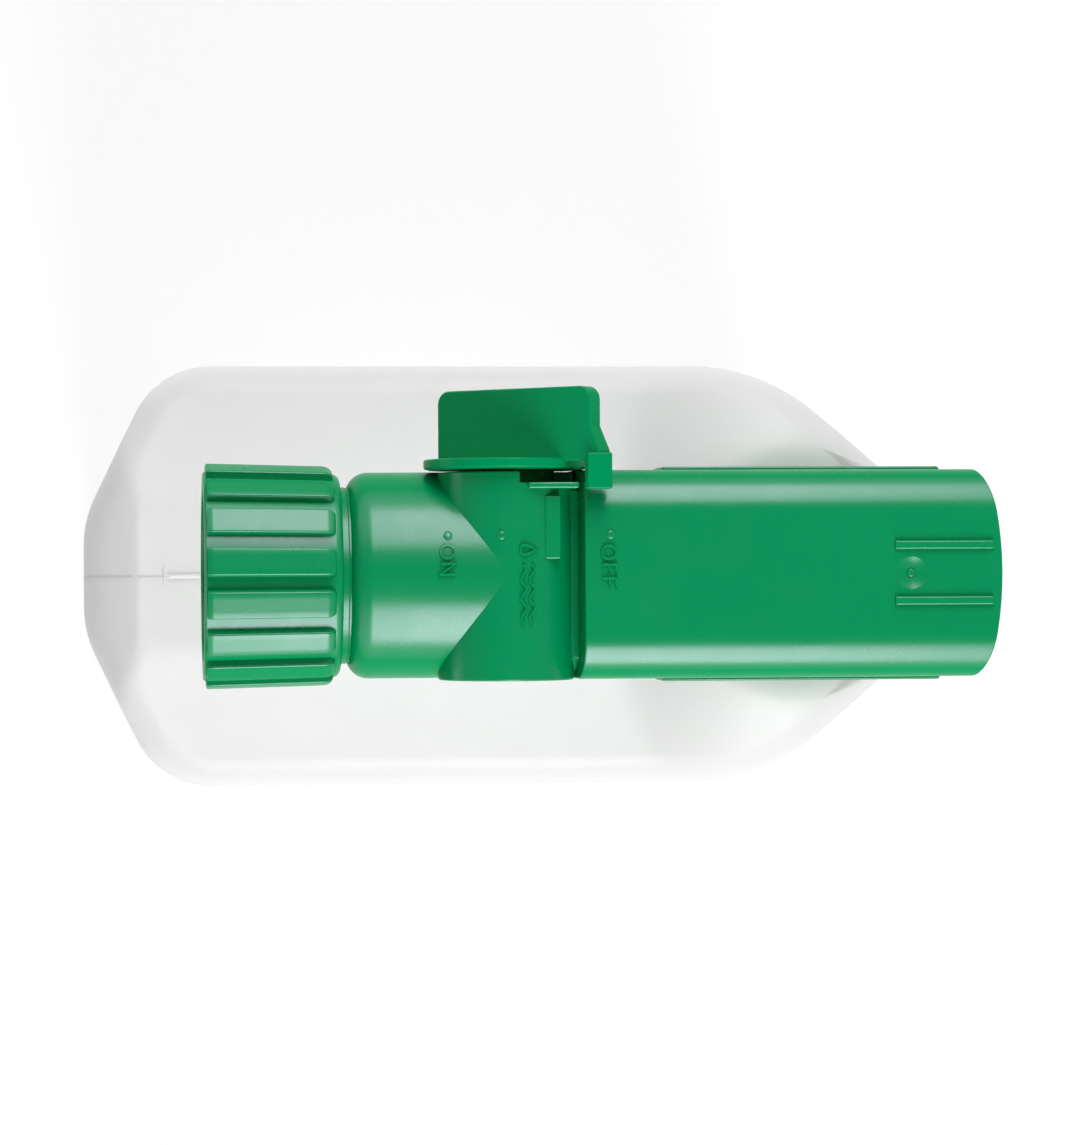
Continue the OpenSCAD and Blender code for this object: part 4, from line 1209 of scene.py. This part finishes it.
@dataclass
class HoseNut:
    """The ribbed hose nut: a turned shell, and its grip ribs and hose thread as repeats."""

    mouth_r: float = 18.25
    back_r: float = 17.7
    mouth_chamfer: float = 0.35
    ribs: int = 16
    groove_depth: float = 1.15
    groove_w: float = 2.7
    thread_r: float = 13.62
    thread_len: float = 10.0
    thread_pitch: float = 2.209
    thread_depth: float = 0.85
    thread_from: float = 0.9
    thread_run: float = 8.4
    thread_relief: float = 0.5
    thread_root: float = 0.1
    lead_in: float = 0.6
    flange_r: float = 10.8
    flange: float = 4.0
    recess_r: float = 15.0
    recess: float = 1.2
    recess_chamfer: float = 0.25
    end_r: float = 1.2
    back_gap: float = 0.5
    turn_deg: float = 7.4
    rib_start: float = 0.45
    rib_ease: tuple[float, float] = (0.25, 0.2)
    rib_end_r: float = 1.6
    rib_end_low: float = 0.25
    rib_end_in: float = 0.6
    rib_even: tuple[float, float] = (1.0, 2.2)
    rib_edge_turns: tuple[float, ...] = (0.5, 1.05, 1.57)
    rib_crown_places: tuple[float, ...] = (-0.45, 0.0, 0.45)
    rib_edge: float = 0.28
    rib_crown: float = 0.6
    rib_foot: tuple[float, float] = (0.12, 0.7)

    def __post_init__(self) -> None:
        """Takes the nut's place from the frame."""
        low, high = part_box("hose_nut")
        self.mouth_x = low.x / MM
        self.length = high.x / MM - self.mouth_x
        self.axis_z = (low.z + high.z) / 2 / MM

    def groove_r(self, along: float) -> float:
        """Radius of the grooves' floor at a distance from the mouth."""
        return self.mouth_r - self.groove_depth + (self.back_r - self.mouth_r) * along / self.length

    def shell(self) -> Form:
        """The nut without its ribs: tapered outside, thread bore, flange and recess.

        Returns:
            The shell.
        """
        end, long, edge = self.end_r, self.length, self.mouth_chamfer
        back = self.groove_r(long)
        step = long - self.recess
        root, bore = self.thread_r + self.thread_relief, self.thread_r
        outline = [
            (0.0, self.groove_r(0) - edge),
            (edge, self.groove_r(edge)),
            *((x, self.groove_r(x)) for x in np.linspace(1, long - end - self.back_gap, 6)),
            *((long - x, back - r) for x, r in quarter_arc(end, 7)),
            (long, self.recess_r + self.recess_chamfer),
            (long - self.recess_chamfer, self.recess_r),
            (step, self.recess_r),
            (step, self.flange_r),
            (step - self.flange, self.flange_r),
            (step - self.flange, root),
            (self.thread_len, root),
            (self.thread_len, bore),
            (self.lead_in, bore),
            (0.0, root),
        ]
        to_x = Matrix.Rotation(QUARTER, 3, "Y")
        return revolved(outline, 160, (self.mouth_x, 0, self.axis_z), to_x)

    def rib(self) -> Form:
        """One grip rib, at the top of the nut, about the nut's own axis: crowned top, rounded edges and end.

        Returns:
            The rib.
        """
        half = (TURN * self.mouth_r / self.ribs - self.groove_w) / 2
        last = self.length - self.end_r
        start, (ease, ease_depth), (flare, foot_depth) = self.rib_start, self.rib_ease, self.rib_foot
        after, before = self.rib_even
        stations = [start, start + ease, *np.linspace(start + after, last - before, 9)]
        stations += [last - left for left, _ in quarter_arc(self.rib_end_r, 7, 0.1)]
        rings = []
        for x in stations:
            to_end = min(1.0, max(0.0, (last - x) / self.rib_end_r))
            full = math.sqrt(max(0.0, 1 - (1 - to_end) ** 2))
            floor = self.groove_r(x)
            top = floor + self.groove_depth * (self.rib_end_low + (1 - self.rib_end_low) * full)
            top -= ease_depth * max(0.0, 1 - (x - start) / ease)
            wide = half * (floor / self.groove_r(0)) - self.rib_end_in * (1 - full)
            foot = floor - foot_depth
            r = min(self.rib_edge, (top - foot) / 2)
            side = [(wide + flare, foot), (wide, top - r)]
            side += [(wide - r + r * math.cos(a), top - r + r * math.sin(a)) for a in self.rib_edge_turns]
            across = [place * wide for place in self.rib_crown_places]
            crown = [(y, math.sqrt(top**2 - y**2 * self.rib_crown)) for y in across]
            rows = [(-y, z) for y, z in side] + crown + side[::-1]
            rings.append([(self.mouth_x + x, y, z) for y, z in rows])
        return grid(np.array(rings))

    def rib_tree(self) -> bpy.types.NodeTree:
        """Repeats the rib round the nut's axis, through named inputs for the count, height and finish.

        Returns:
            The geometry tree.
        """
        inputs = {"Geometry": "Geometry", "Ribs": "Int", "First Rib": "Float", "Axis Height": "Float"}
        tree, given = open_tree("grip ribs round the nut", inputs | {"Finish": "Material"})
        line = {"Count": given["Ribs"], "Offset": (0, 0, 0)}
        spots = add_node(tree, "GeometryNodeMeshLine", line, mode="OFFSET").outputs[0]
        number = add_node(tree, "GeometryNodeInputIndex").outputs[0]
        step = add_node(tree, "ShaderNodeMath", {0: TURN, 1: given["Ribs"]}, operation="DIVIDE").outputs[0]
        sums = {0: number, 1: step, 2: given["First Rib"]}
        angle = add_node(tree, "ShaderNodeMath", sums, operation="MULTIPLY_ADD").outputs[0]
        turn = add_node(tree, "ShaderNodeCombineXYZ", {"X": angle}).outputs[0]
        placed = {"Points": spots, "Instance": given["Geometry"], "Rotation": turn}
        copies = add_node(tree, "GeometryNodeInstanceOnPoints", placed).outputs[0]
        lift = add_node(tree, "ShaderNodeCombineXYZ", {"Z": given["Axis Height"]}).outputs[0]
        raised = add_node(tree, "GeometryNodeTransform", {"Geometry": copies, "Translation": lift})
        return close_tree(tree, raised.outputs[0], given["Finish"])

    def thread_tree(self) -> bpy.types.NodeTree:
        """Sweeps the thread's crest along a helix, through named inputs for its sizes and finish.

        Returns:
            The geometry tree.
        """
        inputs = dict.fromkeys(("Turns", "Radius", "Length", "Depth"), "Float")
        tree, given = open_tree("hose thread in the nut", inputs | {"Start": "Vector", "Finish": "Material"})
        spiral = {
            "Resolution": 64,
            "Rotations": given["Turns"],
            "Start Radius": given["Radius"],
            "End Radius": given["Radius"],
            "Height": given["Length"],
        }
        helix = add_node(tree, "GeometryNodeCurveSpiral", spiral).outputs[0]
        upright = add_node(tree, "GeometryNodeSetCurveNormal", {"Curve": helix}, mode="Z_UP").outputs[0]
        ring = {"Resolution": 6, "Radius": given["Depth"]}
        crest = add_node(tree, "GeometryNodeCurvePrimitiveCircle", ring, mode="RADIUS").outputs[0]
        sweep = {"Curve": upright, "Profile Curve": crest, "Fill Caps": True}
        swept = add_node(tree, "GeometryNodeCurveToMesh", sweep).outputs[0]
        lay = {"Geometry": swept, "Rotation": (0, QUARTER, 0), "Translation": given["Start"]}
        laid = add_node(tree, "GeometryNodeTransform", lay).outputs[0]
        return close_tree(tree, laid, given["Finish"])

    def build(self) -> None:
        """Makes the shell, ribs and thread as pieces of the coupling."""
        shell = Piece("nut_shell", Body.COUPLING, Slot.HEAD)
        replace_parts(make_piece(shell, self.shell()), "hose_nut")
        finish = FINISH_OF_SLOT[Slot.HEAD].material()
        rib_inputs = {
            "Ribs": self.ribs,
            "First Rib": -math.radians(self.turn_deg),
            "Axis Height": self.axis_z * MM,
            "Finish": finish,
        }
        thread_inputs = {
            "Turns": self.thread_run / self.thread_pitch,
            "Radius": (self.thread_r + self.thread_root) * MM,
            "Length": self.thread_run * MM,
            "Depth": self.thread_depth * MM,
            "Start": ((self.mouth_x + self.thread_from) * MM, 0.0, self.axis_z * MM),
            "Finish": finish,
        }
        for name, seed, tree, inputs in (
            ("nut_grip_ribs", self.rib(), self.rib_tree(), rib_inputs),
            ("nut_thread", Form(), self.thread_tree(), thread_inputs),
        ):
            dress_mesh(replace(shell, name=name), repeated(seed, tree, inputs), sharp_deg=50.0)


# Pieces that stay as packed


@dataclass(frozen=True)
class PackedPieces:
    """The inner pieces whose CAD shape stays, by the slot of their finish."""

    seals: tuple[str, ...] = (
        "hose_washer", "backflow_diaphragm", "valve_seat",
        "plug_ring_inner", "plug_ring_outer", "neck_gasket",
    )
    natural: tuple[str, ...] = (
        "filter_screen", "diaphragm_cage", "valve_plug", "jet_insert", "mixing_tube",
        "suction_adapter", "ball_retainer", "dip_tube", "tube_strainer",
    )
    steel: tuple[str, ...] = ("check_ball",)

    def dress(self) -> None:
        """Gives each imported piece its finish."""
        for nodes, slot in ((self.seals, Slot.SEAL), (self.natural, Slot.NATURAL), (self.steel, Slot.BALL)):
            finish = FINISH_OF_SLOT[slot].material()
            for node in nodes:
                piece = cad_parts[node]
                if not piece.material_slots:
                    piece.data.materials.append(finish)
                for held in piece.material_slots:
                    held.material = finish
                log.info("dressed %s with %s", node, finish.name)


# Studio


def seat(place: Vector, right: Vector, back: Vector) -> Matrix:
    """Where a lamp or camera stands, with its local X to the right and its local Z backwards."""
    turn = Matrix((right, back.cross(right), back)).transposed()
    return Matrix.Translation(place) @ turn.to_4x4()


@dataclass(frozen=True)
class SoftBox:
    """A soft box that hangs round the object."""

    name: str
    azimuth_deg: float
    height_deg: float
    watts: float
    long: float
    tall: float
    slide: float = 0.0
    distance: float = 1.0

    def build(self, aim: Vector) -> None:
        """Hangs the soft box and turns it to the object.

        Args:
            aim: The point that it faces.
        """
        lamp = bpy.data.lights.new(self.name, "AREA")
        lamp.shape = "RECTANGLE"
        lamp.size = self.long
        lamp.size_y = self.tall
        lamp.energy = self.watts
        rise, round_deg = math.radians(self.height_deg), math.radians(self.azimuth_deg)
        level = Vector((math.cos(round_deg), math.sin(round_deg), 0.0))
        back = level * math.cos(rise) + Vector((0, 0, math.sin(rise)))
        place = aim + back * self.distance + Vector((self.slide, 0, 0))
        holder = stood(self.name, lamp)
        holder.matrix_world = seat(place, Vector((0, 0, 1)).cross(level), back)
        holder.visible_camera = False


@dataclass
class Studio:
    """Camera, soft boxes, sky and floor, in metres."""

    aim: tuple[float, float, float] = (0.0, 0.00035, 0.215)
    tilt_deg: float = 6.0
    roll_deg: float = -0.3
    distance: float = 0.65
    lens_mm: float = 124.66
    sensor_mm: float = 36.0
    clip: float = 0.05
    boxes: tuple[SoftBox, ...] = (
        SoftBox("front_soft_box", -90, 34, watts=7.3, long=0.36, tall=0.84, slide=0.1),
        SoftBox("knob_side_soft_box", 90, 35, watts=5.3, long=0.36, tall=0.86, slide=0.1),
        SoftBox("hose_side_strip", 180, -12, watts=0.9, long=0.6, tall=0.1, distance=0.9),
    )
    floor_half: float = 6.0
    floor_gap: float = 0.00005
    floor_colour: str = "#B4B4B4"
    floor_glow: float = 0.66
    walls: float = 1.0
    end_walls: float = 0.1
    ceiling: float = 0.02
    wall_side: tuple[float, float] = (0.25, 0.75)
    wall_top: tuple[float, float] = (0.5, 0.9)
    skirting: tuple[float, float] = (-0.04, 0.11)

    def build(self) -> None:
        """Makes the whole studio."""
        self.camera()
        for box in self.boxes:
            box.build(Vector(self.aim))
        self.sky()
        self.floor()
        bpy.context.scene.view_settings.view_transform = "Standard"

    def camera(self) -> None:
        """Looks down on the head, leaning a little to the hose's side."""
        lean = math.radians(self.tilt_deg)
        back = Vector((-math.sin(lean), 0, math.cos(lean)))
        right = Vector((math.cos(lean), 0, math.sin(lean)))
        lens = bpy.data.cameras.new("camera")
        lens.lens = self.lens_mm
        lens.sensor_width = self.sensor_mm
        lens.clip_start = self.clip
        holder = stood("camera", lens)
        roll = Matrix.Rotation(math.radians(self.roll_deg), 4, "Z")
        holder.matrix_world = seat(Vector(self.aim) + back * self.distance, right, back) @ roll
        bpy.context.scene.camera = holder

    def sky(self) -> None:
        """Pale walls along both sides, dim ones over a pale skirting at both ends, and a dim ceiling."""
        world = bpy.data.worlds.new("studio")
        bpy.context.scene.world = world
        tree = blank_tree(world)
        way = add_node(tree, "ShaderNodeTexCoord").outputs["Generated"]
        part = add_node(tree, "ShaderNodeSeparateXYZ", {0: way}).outputs
        side = add_node(tree, "ShaderNodeMath", {0: part["Y"]}, operation="ABSOLUTE").outputs[0]
        light: Any = self.walls
        for value, (start, end), high in (
            (part["Z"], self.skirting, self.end_walls),
            (side, self.wall_side, self.walls),
            (part["Z"], self.wall_top, self.ceiling),
        ):
            fade = {"Value": value, "From Min": start, "From Max": end, "To Min": light, "To Max": high}
            light = add_node(tree, "ShaderNodeMapRange", fade, interpolation_type="SMOOTHSTEP").outputs[0]
        room = add_node(tree, "ShaderNodeBackground", {"Color": (1, 1, 1, 1), "Strength": light})
        add_node(tree, "ShaderNodeOutputWorld", {"Surface": room.outputs[0]})

    def floor(self) -> None:
        """A pale floor that keeps the object's shadow, and looks lit where it is seen or reflected."""
        half, below = self.floor_half, -self.floor_gap
        mesh = bpy.data.meshes.new("floor")
        square = ((-half, -half), (half, -half), (half, half), (-half, half))
        mesh.from_pydata([(x, y, below) for x, y in square], [], [(0, 1, 2, 3)])
        stood("floor", mesh)
        made = bpy.data.materials.new("Painted board, matt white")
        tree = blank_tree(made)
        paint = add_node(tree, "ShaderNodeBsdfDiffuse", {"Color": linear(self.floor_colour)})
        path = add_node(tree, "ShaderNodeLightPath").outputs
        seen = path["Is Camera Ray"]
        for more in (path["Is Glossy Ray"], path["Is Transmission Ray"]):
            seen = add_node(tree, "ShaderNodeMath", {0: seen, 1: more}, operation="MAXIMUM").outputs[0]
        strength = add_node(tree, "ShaderNodeMath", {0: seen, 1: self.floor_glow}, operation="MULTIPLY")
        glow = add_node(tree, "ShaderNodeEmission", {"Strength": strength.outputs[0]})
        both = add_node(tree, "ShaderNodeAddShader", {0: paint.outputs[0], 1: glow.outputs[0]})
        add_node(tree, "ShaderNodeOutputMaterial", {"Surface": both.outputs[0]})
        mesh.materials.append(made)


def main() -> None:
    """Builds every sub-assembly in order, then the studio."""
    logging.basicConfig(level=logging.INFO, format="%(name)s: %(message)s")
    bottle = BlownBottle()
    builders: list[tuple[str, Callable[[], None]]] = [
        ("bottle", bottle.build),
        ("mould seam", bottle.build_seam),
        ("spray head", SprayHead().build),
        ("valve knob", ValveKnob().build),
        ("hose nut", HoseNut().build),
        ("packed pieces", PackedPieces().dress),
        ("studio", Studio().build),
    ]
    for name, build in builders:
        build()
        log.info("finished the %s", name)


if __name__ == "__main__":
    main()
